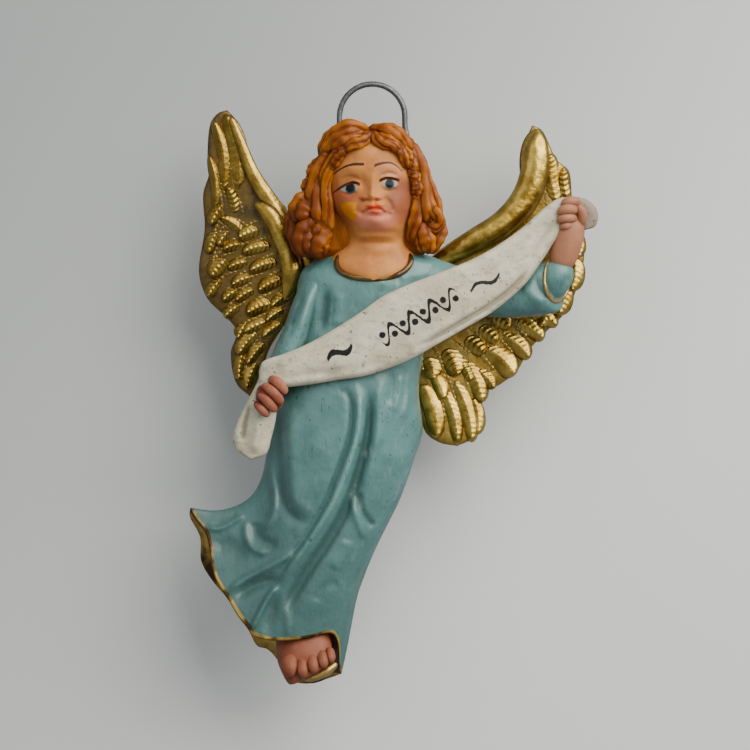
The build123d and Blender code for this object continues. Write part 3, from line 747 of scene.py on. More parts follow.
locks = [
    # places and radius: crown, then the left side from the face outwards, then the right side
    [
        (-1.2, -13.5, -13.2, 1.3), (-4.4, -15.2, -12.6, 2.1), (-8, -15.6, -13.4, 2.5),
        (-11.2, -14.5, -16.6, 2.3), (-13.4, -13.2, -21.4, 1.6),
    ],
    [
        (-2.2, -16.4, -14.2, 0.9), (-5, -17.6, -15, 1.5), (-8, -17.8, -17, 2),
        (-10.2, -16.5, -19.8, 1.3),
    ],
    [
        (-5, -13.6, -11.7, 1), (-8.6, -13.2, -12.7, 1.8), (-12, -12, -16, 1.9),
        (-14.2, -11, -20.2, 1.4),
    ],
    [
        (-0.8, -13.6, -12.8, 1.2), (2.6, -15.2, -12.9, 1.9), (5.8, -15.8, -14, 2.2),
        (8.6, -14.8, -16.6, 1.9), (10.8, -13.6, -19.6, 1.4),
    ],
    [
        (-0.4, -16.8, -14, 0.8), (2.4, -17.6, -15.4, 1.3), (5.2, -17.8, -16.2, 1.4),
        (8, -17, -17.9, 1.2),
    ],
    [
        (1.8, -13.2, -12.1, 0.9), (5.2, -13.4, -12.7, 1.5), (8.6, -12.6, -15.2, 1.7),
        (11.4, -12, -18.6, 1.5),
    ],
    [
        (-8.6, -17.6, -18.2, 1.1), (-11.2, -16.4, -21.8, 1.4), (-12.9, -15.4, -26, 1.5),
        (-13.1, -15, -30.4, 1.4), (-12.5, -14.6, -34.6, 1.5), (-12.6, -13.6, -39, 1.9),
        (-14.2, -12.6, -43.4, 1.7),
    ],
    [
        (-12.2, -14, -18.6, 1.4), (-14.6, -13.8, -23, 1.9), (-15.8, -13.6, -27.4, 2),
        (-16.2, -13.6, -31.6, 2), (-15.6, -13.4, -36, 2.1), (-15, -13, -39.4, 1.6),
    ],
    [(-13.9, -11.6, -20.4, 1.2), (-16.4, -11.6, -23.6, 1.5), (-17.2, -12.2, -26, 1.4)],
    [(-16, -11.6, -24.8, 1.2), (-17.9, -11.4, -27.6, 1.4), (-18.3, -11.8, -30, 1.3)],
    [
        (-17, -11.4, -29.6, 1.5), (-19, -12.2, -32.6, 2.4), (-19.6, -12.6, -35.4, 2.8),
        (-18.4, -13, -38.4, 1.9),
    ],
    [
        (-20, -10, -33.4, 1.5), (-21.8, -9.8, -37, 1.9), (-22, -9.8, -41, 2),
        (-20.8, -9.8, -45, 1.8), (-19, -10, -48.2, 1.2),
    ],
    [
        (-16.2, -12.6, -37.6, 1.9), (-18.8, -12.8, -40.4, 2.4), (-19, -12.8, -44, 2.6),
        (-17, -12.6, -47.4, 2),
    ],
    [
        (-12.6, -12.6, -38, 1.8), (-14.2, -13.2, -41.8, 2.6), (-15.2, -13.2, -45.4, 2.8),
        (-14, -12.4, -48, 1.6),
    ],
    [(7.4, -17.4, -17.6, 0.9), (9.4, -16.8, -19.6, 1.5), (10.4, -16.2, -22, 1.1)],
    [(9.6, -16.6, -20.6, 0.9), (11.2, -15.8, -22.6, 1.4), (11.4, -15.6, -25, 1)],
    [(10.4, -16, -23.6, 0.9), (11.9, -15.6, -25.8, 1.3), (11.9, -15.4, -28, 1)],
    [(11.2, -15.6, -26.6, 0.9), (12.6, -15.2, -29, 1.3), (12.3, -15, -31.4, 1)],
    [
        (9.8, -13.4, -16.8, 1.5), (12.4, -13.2, -21, 1.9), (13.8, -13.2, -26, 1.8),
        (14.6, -13.2, -31, 2.1), (15.6, -13.2, -35.6, 2.2), (15.4, -12.8, -38.6, 1.4),
    ],
    [
        (11.8, -11, -18.8, 1.2), (14, -10.8, -23, 1.4), (15.6, -10.8, -28, 1.5),
        (17.4, -10.8, -32.6, 1.7), (18.8, -10.8, -36.6, 1.4),
    ],
    [
        (12.2, -14.2, -30.4, 1.2), (12.4, -14, -34.4, 1.5), (12, -13.6, -38.6, 1.6),
        (11.4, -12.8, -42.4, 1.3), (11.6, -12, -44.6, 0.9),
    ],
    [
        (15, -13.4, -34.6, 1.2), (17.8, -13.8, -36, 1.5), (19, -13.2, -38.4, 1.3),
        (17.6, -13.2, -40.2, 1.1), (15.6, -13.2, -39.6, 1),
    ],
    [
        (13.4, -13, -38.6, 1.3), (14.4, -13.4, -41.8, 1.9), (15.8, -12.8, -44.8, 1.8),
        (16.2, -11.8, -47.4, 0.9),
    ],
    [
        (19, -11.4, -38, 1), (19, -11.8, -41.2, 1.6), (17.8, -11.6, -44.6, 1.5),
        (16.4, -11, -47.2, 0.8),
    ],
    [(11.6, -12.6, -40.4, 1.1), (13, -12.6, -43.6, 1.4), (14.6, -11.6, -46.6, 1.1)],
    [
        (-0.4, -17.4, -13.4, 0.8), (-1.8, -19, -15.4, 1.2), (-3.8, -19.6, -16.6, 1.3),
        (-6, -19.4, -17.4, 1.2), (-7.8, -18.8, -19.2, 0.9),
    ],
    [
        (0, -17.6, -13.6, 0.8), (1.2, -19, -15.6, 1.2), (3.2, -19.6, -16.9, 1.2),
        (5.4, -19.3, -17.2, 1.2), (7.6, -18.6, -19, 0.9),
    ],
    [
        (-6.6, -18.8, -17.8, 0.8), (-8.6, -18.6, -19.4, 1.2), (-9.8, -18, -21.2, 1.1),
        (-10.7, -17.2, -23.4, 0.8),
    ],
    [
        (6.4, -18.6, -17.8, 0.8), (8.4, -18.3, -19.6, 1.1), (9.4, -17.8, -21.6, 1),
        (10.2, -17, -23.6, 0.8),
    ],
]
strands = []
for number, lock in enumerate(locks):
    share = np.linspace(0, 1, 9)
    line = curve(lock, share)
    heading = np.gradient(line[:, :3], axis=0)
    side = np.cross(heading, [0, 1, 0])
    side /= np.linalg.norm(side, axis=1, keepdims=True)
    for third in range(3):
        angle = 2.1 * third + 0.8 * number + 2.6 * share
        step = 0.52 * line[:, 3:]
        path = line[:, :3] + step * (np.cos(angle)[:, None] * side)
        path[:, 1:2] -= 0.75 * step * np.sin(angle)[:, None]
        radius = line[:, 3:] * (0.78 + 0.06 * np.cos(5 * share + number))[:, None]
        strands.append(np.hstack([path, radius]))
lock_grid = tubes(strands, 60, 14, flat=0.72, strands=3, groove=0.07, twist=3, waves=4, swing=0.1)
mass = np.concatenate([mass, mass_values], -1)
hair = surface("hair_locks", mass, lock_grid, values=("crease", "groove"))

hair_paint, shader, place = paint(
    "hair_paint", Coat_Weight=0.08, Coat_Roughness=0.2, Specular_IOR_Level=0.22,
)
cloud, fine = place.noise(0.16, 2), place.noise(0.8, 3, (1, 1, 0.3))
orange = cloud.rise(0.3, 0.7).mix((0.25, 0.056, 0.0002, 1), (0.45, 0.13, 0.0004, 1))
x, _, z = place.split()
# Painted shade: darker over the lower left, in the strand grooves and where locks meet.
orange = (x.rise(-10, -18) * z.rise(-26, -42) * 0.85).mix(orange, (0.13, 0.02, 0.0002, 1))
orange = (place.attribute("groove").rise(0.35, 1) * 0.5).mix(orange, (0.16, 0.034, 0.0002, 1))
orange = (place.attribute("crease").rise(0.15, 0.9) * 0.75).mix(orange, (0.095, 0.015, 0.0002, 1))
orange = (fine.rise(0.55, 0.75) * 0.5).mix(orange, (0.15, 0.032, 0.0003, 1))
orange.into(shader, "Base Color")
(0.36 + fine * 0.2).into(shader, "Roughness")
(fine * 0.25).bump(0.6).into(shader, "Normal")
assemble(hair, hair_paint, "hair", "hair")

# ------------------------------------------------------------ wings
# Two wings of one casting each, fused to the shoulders: a smooth rolled leading edge over a
# plain plate, and rows of small ribbed feathers over longer ones, made here as a piece of their
# own. All are in gold paint worn down to brown in the hollows, which also hold painted shade,
# and painted shade darkens the right wing.


def slab(left, right, middle, thick, rows, columns, relief=None, power=4):
    """Front and back of a flat body between a left and a right edge line in the front view. Half
    its thickness is thick * sqrt(1 - |2s - 1|^power) at share s of the way across, and likewise
    along it with power 30. Relief, a function of x and z, stands on the front."""
    t = (1 - np.cos(np.linspace(0, np.pi, rows))) / 2
    s = (1 - np.cos(np.linspace(0, np.pi, columns))) / 2
    a, b = curve(left, t)[:, None], curve(right, t)[:, None]
    plan = a + s[None, :, None] * (b - a)
    edge = np.sqrt(np.maximum(0, 1 - np.abs(2 * s - 1) ** power))[None, :] + 0 * t[:, None]
    edge *= np.sqrt(np.maximum(0, 1 - np.abs(2 * t - 1) ** 30))[:, None]
    x, z = plan[..., 0], plan[..., 1]
    depth = middle(x, z) if callable(middle) else np.interp(t, *middle)[:, None] + 0 * x
    height = relief(x, z) if relief else 0 * x
    front = sheet(plan, depth - thick * edge - height * edge, height)
    return np.stack([front, sheet(plan, depth + thick * edge, 0 * height)])


def wing_depth(x, z):
    """Depth of the middle of a wing, which leans back towards the wall with its distance out."""
    return 3.2 + 0.05 * (np.abs(x) - 17)


def feathers(places, ribs, within):
    """Closed blades from root to tip in the front view, each (root x, z, tip x, z, width, lift,
    smooth). Half its width is w / 2 * sqrt(1 - |2v - 1|^3) at share v of its length. Its front
    is crowned, with a shaft down the middle and slanting ribs spaced as ribs says in mm; lift is
    how far its tip stands off the wing. The value kept is how dark the paint turns: deep in a
    groove and at the edges, and as painted shade towards the root, on the lower blades and on
    the back. Lower blades lie between them, where within says that the wing has room."""
    v = (1 - np.cos(np.linspace(0, np.pi, 42))) / 2
    u = np.sin(np.linspace(-np.pi / 2, np.pi / 2, 15))
    sheets, under = [], []
    for x0, z0, x1, z1, width, lift, smooth in places:
        for way_on, aside in [(0.45, 0.55), (-0.25, -0.5)]:
            dx, dz = x1 - x0, z1 - z0
            over = aside * width / np.hypot(dx, dz)
            x, z = x0 + way_on * dx - over * dz, z0 + way_on * dz + over * dx
            under.append((x, z, x + 0.8 * dx, z + 0.8 * dz, 0.9 * width, 0.2, smooth))
    inside = [f for f in under if all(within(x, z) for x, z in (f[:2], f[2:4]))]
    for number, (x0, z0, x1, z1, width, lift, smooth) in enumerate([*places, *inside]):
        way = np.array([x1 - x0, z1 - z0])
        length = np.hypot(*way)
        half = 1.2 * width / 2 * np.sqrt(np.maximum(0, 1 - np.abs(2 * v - 1) ** 3))[:, None]
        across = np.array([-way[1], way[0]]) / length
        bow = 0.06 * length * np.sin(np.pi * v)[:, None, None] * across * np.sign(x0)
        plan = np.array([x0, z0]) + v[:, None, None] * way + (u * half)[..., None] * across + bow
        x, z = plan[..., 0], plan[..., 1]
        low = number >= len(places)
        base = wing_depth(x, z) - 1 + 0.45 * low
        crown = (1 - np.abs(u) ** 2.4) * np.minimum(1, half / (0.35 * width))
        wave = np.cos(2 * np.pi * (v[:, None] * length - 0.75 * np.abs(u * half)) / ribs)
        keep = (1 - smooth) * ease(np.abs(u * half), 0.12, 0.5) * crown
        shaft = 0.3 * np.exp(-((u * half / 0.32) ** 2)) * (1 - smooth) * crown
        height = crown * (0.65 + lift * v[:, None]) + shaft + 0.15 * wave * keep
        recess = (0.5 - 0.5 * wave) * keep * 0.42 + 0.9 * np.abs(u) ** 7
        # Painted shade: darker towards the root, under the blade above, and over the whole of a
        # lower blade.
        recess += 0.2 * (1 - v[:, None]) + 0.38 * low
        back = sheet(plan, base + 0.8 * crown, 1 + 0 * recess)
        sheets += [sheet(plan, base - height, recess), back]
    return np.stack(sheets)


right_wing_inner = [
    (-41, -6.3), (-38.9, -8.6), (-36.2, -16), (-32.8, -24), (-29, -30.2), (-24.5, -33.6),
    (-21.5, -41), (-19.8, -49), (-20, -55.5), (-21.6, -62), (-25, -67.5), (-28.8, -73.5),
    (-30.8, -79), (-34.2, -87.6),
]
right_wing_outer = [
    (-41, -6.3), (-43.6, -7.2), (-45.8, -10.2), (-46.6, -19), (-46.1, -24), (-47.8, -30),
    (-47.4, -40), (-49, -52), (-46.6, -59.6), (-41.2, -65), (-38.3, -69), (-40, -75),
    (-38.4, -83.6), (-34.2, -87.6),
]
left_wing_inner = [
    (45.2, -10.6), (43.4, -15), (42.3, -26), (39.2, -33), (33, -38.2), (25, -44.3),
    (17, -48.8), (11, -60), (10, -72), (11.6, -81), (13.2, -90), (15, -97.3),
    (19, -100.3), (24, -101.3),
]
left_wing_outer = [
    (45.2, -10.6), (47.8, -11.8), (50.2, -16.2), (52, -20.2), (55.6, -23.4), (56.6, -31),
    (58.4, -38), (60, -47), (58.4, -55), (55, -63), (48.2, -70), (44.2, -74.4),
    (41, -80), (36, -84), (32.5, -85.6), (31.1, -89), (31.5, -93), (29, -98.8),
    (24, -101.3),
]
right_feathers = [
    # root x, z, tip x, z, width, lift, smooth: primaries, inner column, second, outer, lowest
    (-37.8, -29, -41.3, -7.4, 5.4, 0.8, 0), (-41.8, -29.5, -44.8, -9, 3.6, 0.7, 0),
    (-44.4, -36, -46, -19, 2.8, 0.7, 0), (-38.6, -35.5, -40.8, -28, 3.4, 0.9, 0),
    (-42.4, -33, -45.6, -39, 3.4, 0.8, 0), (-36.6, -40.6, -42.8, -36.6, 3.2, 0.9, 0),
    (-32, -40.2, -37.8, -42.4, 4.4, 1.3, 0), (-28.6, -44.6, -36.8, -46.6, 3.9, 1.3, 0),
    (-26.8, -49.2, -34.8, -51.8, 3.9, 1.4, 0), (-25.4, -54, -32.2, -57.4, 4.2, 1.5, 0),
    (-28.4, -60.8, -35.6, -63.8, 4.6, 1.5, 0), (-23.2, -58.2, -28.6, -62, 3.3, 1.2, 0),
    (-25, -62.6, -30, -66, 2.9, 1.1, 0), (-37, -44.2, -42.2, -45.8, 3.3, 1, 0),
    (-35.2, -49.2, -40.8, -51, 3.3, 1, 0), (-34, -53.4, -39.8, -55.8, 3.5, 1.1, 0),
    (-33.4, -57, -38.6, -60.2, 3.4, 1.1, 0), (-38.2, -57.2, -42.2, -60.2, 3.3, 0.9, 0),
    (-37.6, -61.4, -41.8, -65, 3.2, 0.9, 0), (-41.2, -48.4, -45.6, -53.6, 4.8, 1.1, 0),
    (-43, -54.4, -46.4, -59, 3.2, 0.8, 0), (-44, -40.5, -46.2, -47, 3.3, 0.7, 0),
    (-40.6, -40.4, -43.6, -44.8, 3.2, 0.8, 0), (-29.8, -66, -36.2, -69.2, 3.8, 1.1, 0),
    (-25.6, -66.4, -31, -70.6, 3.2, 1.2, 0.4), (-32.6, -69, -38, -75.6, 4.2, 1, 0),
    (-30.4, -72, -35.4, -78.4, 3.4, 1.1, 0), (-32.8, -77.6, -35.6, -85.4, 3.8, 0.9, 0.3),
    (-36.6, -74.6, -37.6, -82.6, 3, 0.8, 0), (-35.8, -66.6, -38, -70.8, 3, 0.8, 0),
]
left_feathers = [
    (46.6, -31.4, 46.6, -11.6, 6.4, 0.9, 0), (52.4, -33, 50.4, -18.6, 4.4, 0.7, 0),
    (55.2, -32, 54.2, -22.4, 3, 0.6, 0), (57.2, -40, 58.6, -48, 3.4, 1, 0.5),
    (57.4, -48, 56.4, -57.6, 4.6, 1.2, 0.5), (54.6, -55.5, 52.6, -64.4, 4.6, 1.2, 0.3),
    (50.4, -60.6, 47.6, -67.4, 4.2, 1.1, 0.3), (38.2, -60.4, 42.8, -65, 4.7, 1.5, 0),
    (34.2, -63.8, 38.9, -68, 4.7, 1.5, 0), (30.3, -67.6, 35.4, -71.8, 4.7, 1.6, 0),
    (26.3, -70.8, 31.8, -75.2, 5.1, 1.6, 0), (44.2, -62.4, 52.4, -67.2, 4, 1.1, 0),
    (41, -66, 48.6, -71, 4.3, 1.1, 0), (37.2, -69.8, 44.6, -76.4, 4.6, 1.2, 0),
    (32.2, -73.6, 40.4, -81.2, 6.2, 1.3, 0), (20.6, -73.8, 24.2, -81.4, 6, 1.2, 0),
    (15.8, -76, 17.4, -82.4, 5, 0.9, 0.5), (26.6, -77.4, 31.2, -89, 4.6, 1.1, 0),
    (30, -79.8, 34.6, -85, 3.4, 0.7, 0), (23.2, -82.6, 28.4, -100.2, 4.3, 1.2, 0),
    (19.8, -84.4, 24.2, -100.8, 4, 1, 0), (17, -80.4, 20.4, -88, 4.2, 1.4, 0.9),
    (14.4, -83.6, 18.6, -99, 5, 1.2, 0.9), (28.6, -87.6, 30, -98, 3.4, 0.8, 0.7),
    (24.6, -76.6, 28, -83, 3.4, 1, 0),
]
rolls = {
    "right_wing": [
        [
            (-40, 2, -8.4, 1), (-37, 1.8, -16, 1.5), (-33.8, 1.6, -24, 1.9),
            (-29.6, 1.4, -31, 2.3), (-25.6, 1.2, -37, 2.4), (-23.6, 1.2, -42, 2),
        ],
        [
            (-33, 0.2, -32.6, 1.2), (-29.2, -0.2, -35.8, 2.3), (-26.2, -0.8, -40.6, 2.7),
            (-23.8, -1, -46.4, 2.7), (-22.6, -1.2, -51.6, 3), (-23.2, -0.6, -56, 2.4),
            (-24.6, 0.4, -60, 1.2),
        ],
        [(-22.4, 2, -43, 2), (-18.4, 2, -48.6, 2.8), (-17.6, 2, -54, 2.2)],
    ],
    "left_wing": [
        [
            (46.8, 1.6, -12.4, 2), (46.4, 1.4, -17.5, 3.5), (45.8, 1.2, -24, 4),
            (43, 0.8, -31.8, 4.1), (37, 0, -38.4, 3.8), (29, -0.4, -43.2, 3.4),
            (21.4, -0.2, -47.6, 2.8), (14, 0.6, -52.6, 2),
        ],
    ],
}
wing_gold = gold_paint("wing_gold", (0.34, 0.2, 0.024, 1), (0.66, 0.44, 0.085, 1), 1)
for name, inner, outer, places, ribs, plate_wear_and_shade in [
    # edges of the outline, feathers, gap between ribs, and how dark the plate is: wear and painted
    # shade
    ("right_wing", right_wing_inner, right_wing_outer, right_feathers, 1.35, 0.6),
    ("left_wing", left_wing_inner, left_wing_outer, left_feathers, 1.5, 0.48),
]:
    edges = curve(inner, np.linspace(0, 1, 200)), curve(outer, np.linspace(0, 1, 200))

    def within(x, z):
        """Whether x, z lies inside the wing's outline, two millimetres from its edge."""
        gaps = [np.hypot(edge[:, 0] - x, edge[:, 1] - z) for edge in edges]
        a, b = (edge[gap.argmin()] for edge, gap in zip(edges, gaps))
        return min(g.min() for g in gaps) > 2 and (a[0] - x) * (b[0] - x) < 0

    plate = slab(inner, outer, wing_depth, 1.4, 150, 60)
    # Wear and painted shade on the plate behind the feathers.
    plate[..., 3] = plate_wear_and_shade
    roll = tubes(rolls[name], 90, 33, flat=0.72)[..., :4]
    # Painted shade where the rolls meet each other.
    roll[..., 3] *= 0.8
    wing = surface(name + "_cast", plate, roll, values=("recess",))
    assemble(wing, wing_gold, "gold", name)
    blades = surface(name + "_feathers", feathers(places, ribs, within), values=("recess",))
    assemble(blades, wing_gold, "gold")

# ------------------------------------------------------------ sleeves
# Wide sleeves of the robe's cloth: the right one hangs down to the fist, and the left one runs
# behind the banner to an open, pointed cuff with a gold edge around the wrist. Inside the cuff
# the cloth of a narrower sleeve closes on the arm.


def loft(stations, rows, columns):
    """Rings around a smooth line of stations, each a centre and two half axes (nine numbers): a
    ring is centre + cos(angle) * first axis + sin(angle) * second axis."""
    line = curve(stations, np.linspace(0, 1, rows)).reshape(rows, 3, 1, 3)
    angle = np.linspace(0, 2 * np.pi, columns)[:, None]
    return line[:, 0] + np.cos(angle) * line[:, 1] + np.sin(angle) * line[:, 2]


right_sleeve_stations = [
    # centre, then the half axes to the right and to the front
    (-13.5, -4, -50.8, 0.5, 0, 0.2, 0, -0.5, 0), (-14.2, -4.4, -52.4, 4.6, 0, 1.4, 0, -5.6, 0),
    (-16.8, -5.8, -58, 5, 0, 1.4, 0, -7.4, 0), (-19.2, -7, -65, 5.2, 0, 1.6, 0, -8, 0),
    (-22.2, -8, -72, 5.3, 0, 1.9, 0, -8, 0), (-25.4, -9, -79, 4.8, 0, 1.8, 0, -7, 0),
    (-27.6, -10, -85, 4, 0, 1.4, 0, -5.6, 0), (-28.2, -10.2, -86.6, 0.4, 0, 0.2, 0, -0.5, 0),
]
left_sleeve_stations = [
    # centre, then the half axes to the front and upwards
    (10, -4, -53, 0, -0.5, 0, 0, 0, 0.5), (12, -4, -53, 0, -7.4, 0, 0, 0, 6),
    (25, -5, -57, 0, -6.6, 0, 0, 0, 6.2), (37, -5.6, -59.4, -0.5, -6.2, 0, -0.6, 0, 5.8),
    (44.8, -7, -59.4, -2, -5.4, -0.6, -3.2, 0, 5), (49, -8.2, -57, -3.4, -4.8, 0, -2.6, 0.6, 6.4),
    (51.8, -8.6, -54.2, -3.5, -4.1, 0, 0.2, 1.4, 6.2),
    (52.3, -8.7, -53.8, -3.2, -3.8, 0, 0.2, 1.3, 5.7),
    (51.4, -8.6, -55.4, -2.8, -3.4, 0, -0.6, 1, 5), (49.4, -8, -57.6, -1.6, -2, 0, -1, 0.4, 2.6),
    (48.6, -8, -58.4, -0.1, -0.1, 0, -0.1, 0, 0.1),
]
sleeve_folds = [
    # path in the front view, height, width
    ([(-15, -52), (-17.8, -59), (-19.6, -66), (-21.6, -73)], 0.6, 1.6, 0.4),
    ([(-13.4, -54), (-15.4, -62), (-17.6, -70), (-19, -75)], -1.2, 1.4, 0.35),
    ([(-19, -57), (-21.4, -64), (-24.6, -71)], -0.6, 1),
    ([(-22.4, -66), (-24.8, -71), (-27.4, -76)], 0.5, 1),
    ([(42, -56), (44.6, -59), (48.4, -61.4)], 0.6, 1.4),
    ([(45.6, -53.6), (46.8, -57.4), (49.6, -60)], -0.5, 1.1),
]
sleeves = {"right_sleeve": right_sleeve_stations, "left_sleeve": left_sleeve_stations}
for name, stations in sleeves.items():
    grid = loft(stations, 150, 73)
    fold = sum(ridge(grid[..., 0], grid[..., 2], *f) for f in sleeve_folds)
    middle_y = curve(stations, np.linspace(0, 1, 150))[:, 1][:, None]
    grid[..., 1] -= fold * ease(middle_y - grid[..., 1], 0.5, 3)
    values = np.stack([0 * fold, fold], -1)
    sleeve = surface(name + "_cast", np.concatenate([grid, values], -1), values=("hem", "fold"))
    assemble(sleeve, robe_paint, "robe", name)

inner_path = [
    (49.6, -8.2, -60.4, 3), (51, -9, -55.4, 4.5), (52.4, -9.6, -51.4, 4.7), (53, -9.8, -48.8, 4.2),
]
inner_sleeve = surface("inner_sleeve", tubes([inner_path], 60, 41), values=("hem", "fold"))
assemble(inner_sleeve, robe_paint, "robe")

cuff = curve(left_sleeve_stations, np.linspace(0, 1, 150))
ring = np.argmin(np.linalg.norm(cuff[:, :3] - np.array([51.8, -8.6, -54.2]), axis=1))
angle = np.linspace(-0.62 * np.pi, 0.7 * np.pi, 15) - 0.3 * np.pi
station = cuff[ring].reshape(3, 3)
around = np.cos(angle)[:, None] * station[1] + np.sin(angle)[:, None] * station[2]
cuff_path = [(*point, 0.5) for point in station[0] + 1.02 * around]
cuff_trim = surface("cuff_trim", tubes([cuff_path], 90, 13), values=("crease", "groove"))
cuff_gold = gold_paint("cuff_gold", (0.3, 0.17, 0.04, 1), (0.6, 0.4, 0.12, 1), 0.8)
assemble(cuff_trim, cuff_gold, "gold")

# ------------------------------------------------------------ hands
# Small rounded hands of the same casting, each closed on an end of the banner: a palm, four
# short fingers and, on the left one, a thumb, in peach with painted shade in dark red in the
# creases.

limb_paint, shader, place, skin = skin_paint(
    "limb_paint", (0.27, 0.078, 0.04, 1), (0.4, 0.14, 0.08, 1)
)
x, _, z = place.split()
# Painted shade and light: the foot darker towards the bottom, the left hand lighter towards the
# right.
skin = (z.rise(-110, -140) * 0.45).mix(skin, (0.15, 0.042, 0.012, 1))
skin = (x.rise(10, 40) * 0.55).mix(skin, (0.5, 0.24, 0.125, 1))
skin.into(shader, "Base Color")
hands = {
    "right_hand": [
        [(-31.4, -14.6, -90.4, 2.6), (-28.6, -15.2, -87.4, 4.3), (-26, -15, -84.6, 3)],
        [(-28.6, -16.6, -81.9, 1.3), (-26.2, -18.4, -83.6, 1.6), (-23.8, -17.6, -86.4, 1.3)],
        [(-30.4, -16.8, -83.9, 1.3), (-27.7, -18.9, -86, 1.6), (-25, -17.8, -89.2, 1.3)],
        [(-31.8, -16.8, -86.2, 1.3), (-29.2, -18.9, -88.4, 1.5), (-26.8, -17.6, -91.4, 1.25)],
        [(-32.6, -16.2, -88.8, 1.1), (-30.7, -18.2, -90.7, 1.35), (-28.8, -17, -92.7, 1)],
    ],
    "left_hand": [
        [
            (52.2, -9.4, -52.5, 3), (53, -9.7, -49.4, 3.9), (54.4, -10.2, -44.6, 4.3),
            (55.4, -10.8, -39.6, 4.3), (55.8, -10.8, -36, 3.5),
        ],
        [(57.8, -12.4, -33, 1.2), (55.4, -14.6, -32.7, 1.4), (52.8, -14.4, -33.6, 1.2)],
        [(57.4, -12.8, -35.2, 1.3), (54.6, -15.4, -34.9, 1.5), (51.7, -14.8, -35.8, 1.3)],
        [(57, -12.8, -37.6, 1.3), (54.2, -15.2, -37.3, 1.4), (51.6, -14.6, -38, 1.2)],
        [(56.4, -12.4, -39.8, 1.1), (54.2, -14.4, -39.5, 1.3), (52.4, -13.8, -40, 1)],
        [(58.2, -11.6, -39.4, 1.3), (58.7, -13.2, -36.2, 1.4), (57.6, -14.4, -33.8, 1.1)],
    ],
}
for name, paths in hands.items():
    hand = surface(name + "_cast", tubes(paths, 48, 33), values=("crease", "groove"))
    assemble(hand, limb_paint, "skin", name)

# ------------------------------------------------------------ foot
# One bare foot under the hem, with five round toes, of the same casting and paint as the hands.
# It stands on a narrow gold edge, the lowest point of the figurine.

foot_stations = [
    # centre, then the half axes to the right and to the front
    (-19, -3, -146, 0.5, 0, 0.1, 0, -0.4, 0), (-19.2, -3.2, -147, 6, 0, 0.5, 0, -3.4, 0),
    (-19.6, -4.2, -154, 7.4, 0, 1.6, 0, -4.6, 0), (-19, -5.6, -159, 7.6, 0, 2.4, 0, -5.2, 0),
    (-18, -7.4, -163, 6.6, 0, 3.2, 0, -4.2, 0), (-17.6, -8.6, -165.2, 5.2, 0, 2.8, 0, -2.4, 0),
    (-17.5, -8.8, -165.9, 0.4, 0, 0.1, 0, -0.2, 0),
]
instep = loft(foot_stations, 90, 61)
instep = np.concatenate([instep, np.zeros((90, 61, 2))], -1)
toes = [
    [(-22.9, -8.2, -159.6, 2.5), (-22.9, -10.2, -163.2, 2.7), (-22.3, -11, -165.8, 2.3)],
    [(-19.7, -9.2, -160.4, 1.8), (-19.5, -11.1, -164, 1.9), (-19.2, -11.7, -166, 1.6)],
    [(-16.9, -9.2, -159.4, 1.8), (-16.5, -11, -162.8, 1.8), (-16.2, -11.5, -164.7, 1.5)],
    [(-14.3, -8.8, -158.4, 1.6), (-13.8, -10.5, -161.6, 1.7), (-13.6, -10.9, -163.3, 1.4)],
    [(-12.2, -8, -157.6, 1.4), (-11.7, -9.5, -160.4, 1.5), (-11.5, -9.9, -161.9, 1.2)],
]
foot = surface("foot_cast", instep, tubes(toes, 48, 33), values=("crease", "groove"))
assemble(foot, limb_paint, "skin", "foot")

sole_line = [
    (-19, -8.8, -166.6, 0.8), (-15.4, -9, -165.7, 1.1), (-12.2, -8.8, -163.9, 1.2),
    (-9.9, -8, -162, 0.9),
]
sole_edge = surface("sole_edge", tubes([sole_line], 60, 17)[..., :4], values=("recess",))
assemble(sole_edge, cuff_gold, "gold")

# ------------------------------------------------------------ banner
# Thick off-white scroll held across the body from hand to hand, with a turned lower lip, then a
# hanging tail below the right fist and a curled end behind the left hand. Dulled by grey grime
# and painted shade.

banner_top = [
    (-31.6, -80), (-30.4, -77.4), (-25, -75.4), (-18, -72.5), (-10, -68), (-3, -63.5),
    (3, -59.2), (10, -56), (20, -52.2), (28, -48.9), (35, -45), (42, -40),
    (48, -34.6), (52.2, -31.8), (58, -31.4),
]
banner_bottom = [
    (-31.6, -86), (-28, -85.6), (-23, -84.6), (-18, -84), (-10, -82.7), (-2, -81.5),
    (5, -79.2), (11, -76.7), (18, -72.7), (26, -68.1), (33, -64), (38, -60.2),
    (43, -55.5), (48, -48.5), (52, -42.5), (57, -37.5),
]
banner_folds = [
    ([(11, -74.6), (18, -70.4), (26, -65.8), (33, -61.6), (40, -56), (45, -49.5)], -1.1, 0.9),
    ([(13, -76.2), (19, -72.4), (27, -67.6), (34, -63.2)], 0.4, 0.9),
    ([(-28, -79), (-20, -78.4), (-10, -76.6), (0, -72)], 0.35, 2.4),
    ([(24, -62.5), (32, -58), (39, -52), (46, -43)], 0.45, 1.6),
    ([(28, -55), (35, -50.5), (42, -44.5), (48, -38)], -0.35, 1.3),
    ([(4, -77.4), (14, -71.6), (24, -65.2)], 0.35, 1.6),
    ([(-16, -83), (-8, -80), (2, -77.5), (12, -72)], -0.3, 1.3),
    ([(-26, -82.5), (-18, -81), (-8, -80.2)], -0.3, 1),
    ([(43, -50), (47, -44), (51, -38)], -0.5, 1),
    (banner_bottom, -0.55, 0.9, 0.05), (banner_top, -0.4, 0.5, 0.05),
]


def banner_relief(x, z):
    """The banner's lengthwise folds, as relief on its front."""
    return sum(ridge(x, z, *f) for f in banner_folds)


banner_depth = (
    [0, 0.08, 0.22, 0.42, 0.6, 0.75, 0.88, 1],
    [-14.5, -16, -17.2, -17.5, -17.2, -15.6, -13.4, -11.6],
)
banner = slab(banner_top, banner_bottom, banner_depth, 1.5, 260, 90, banner_relief, power=8)
banner = surface("banner_cast", banner, values=("fold",))


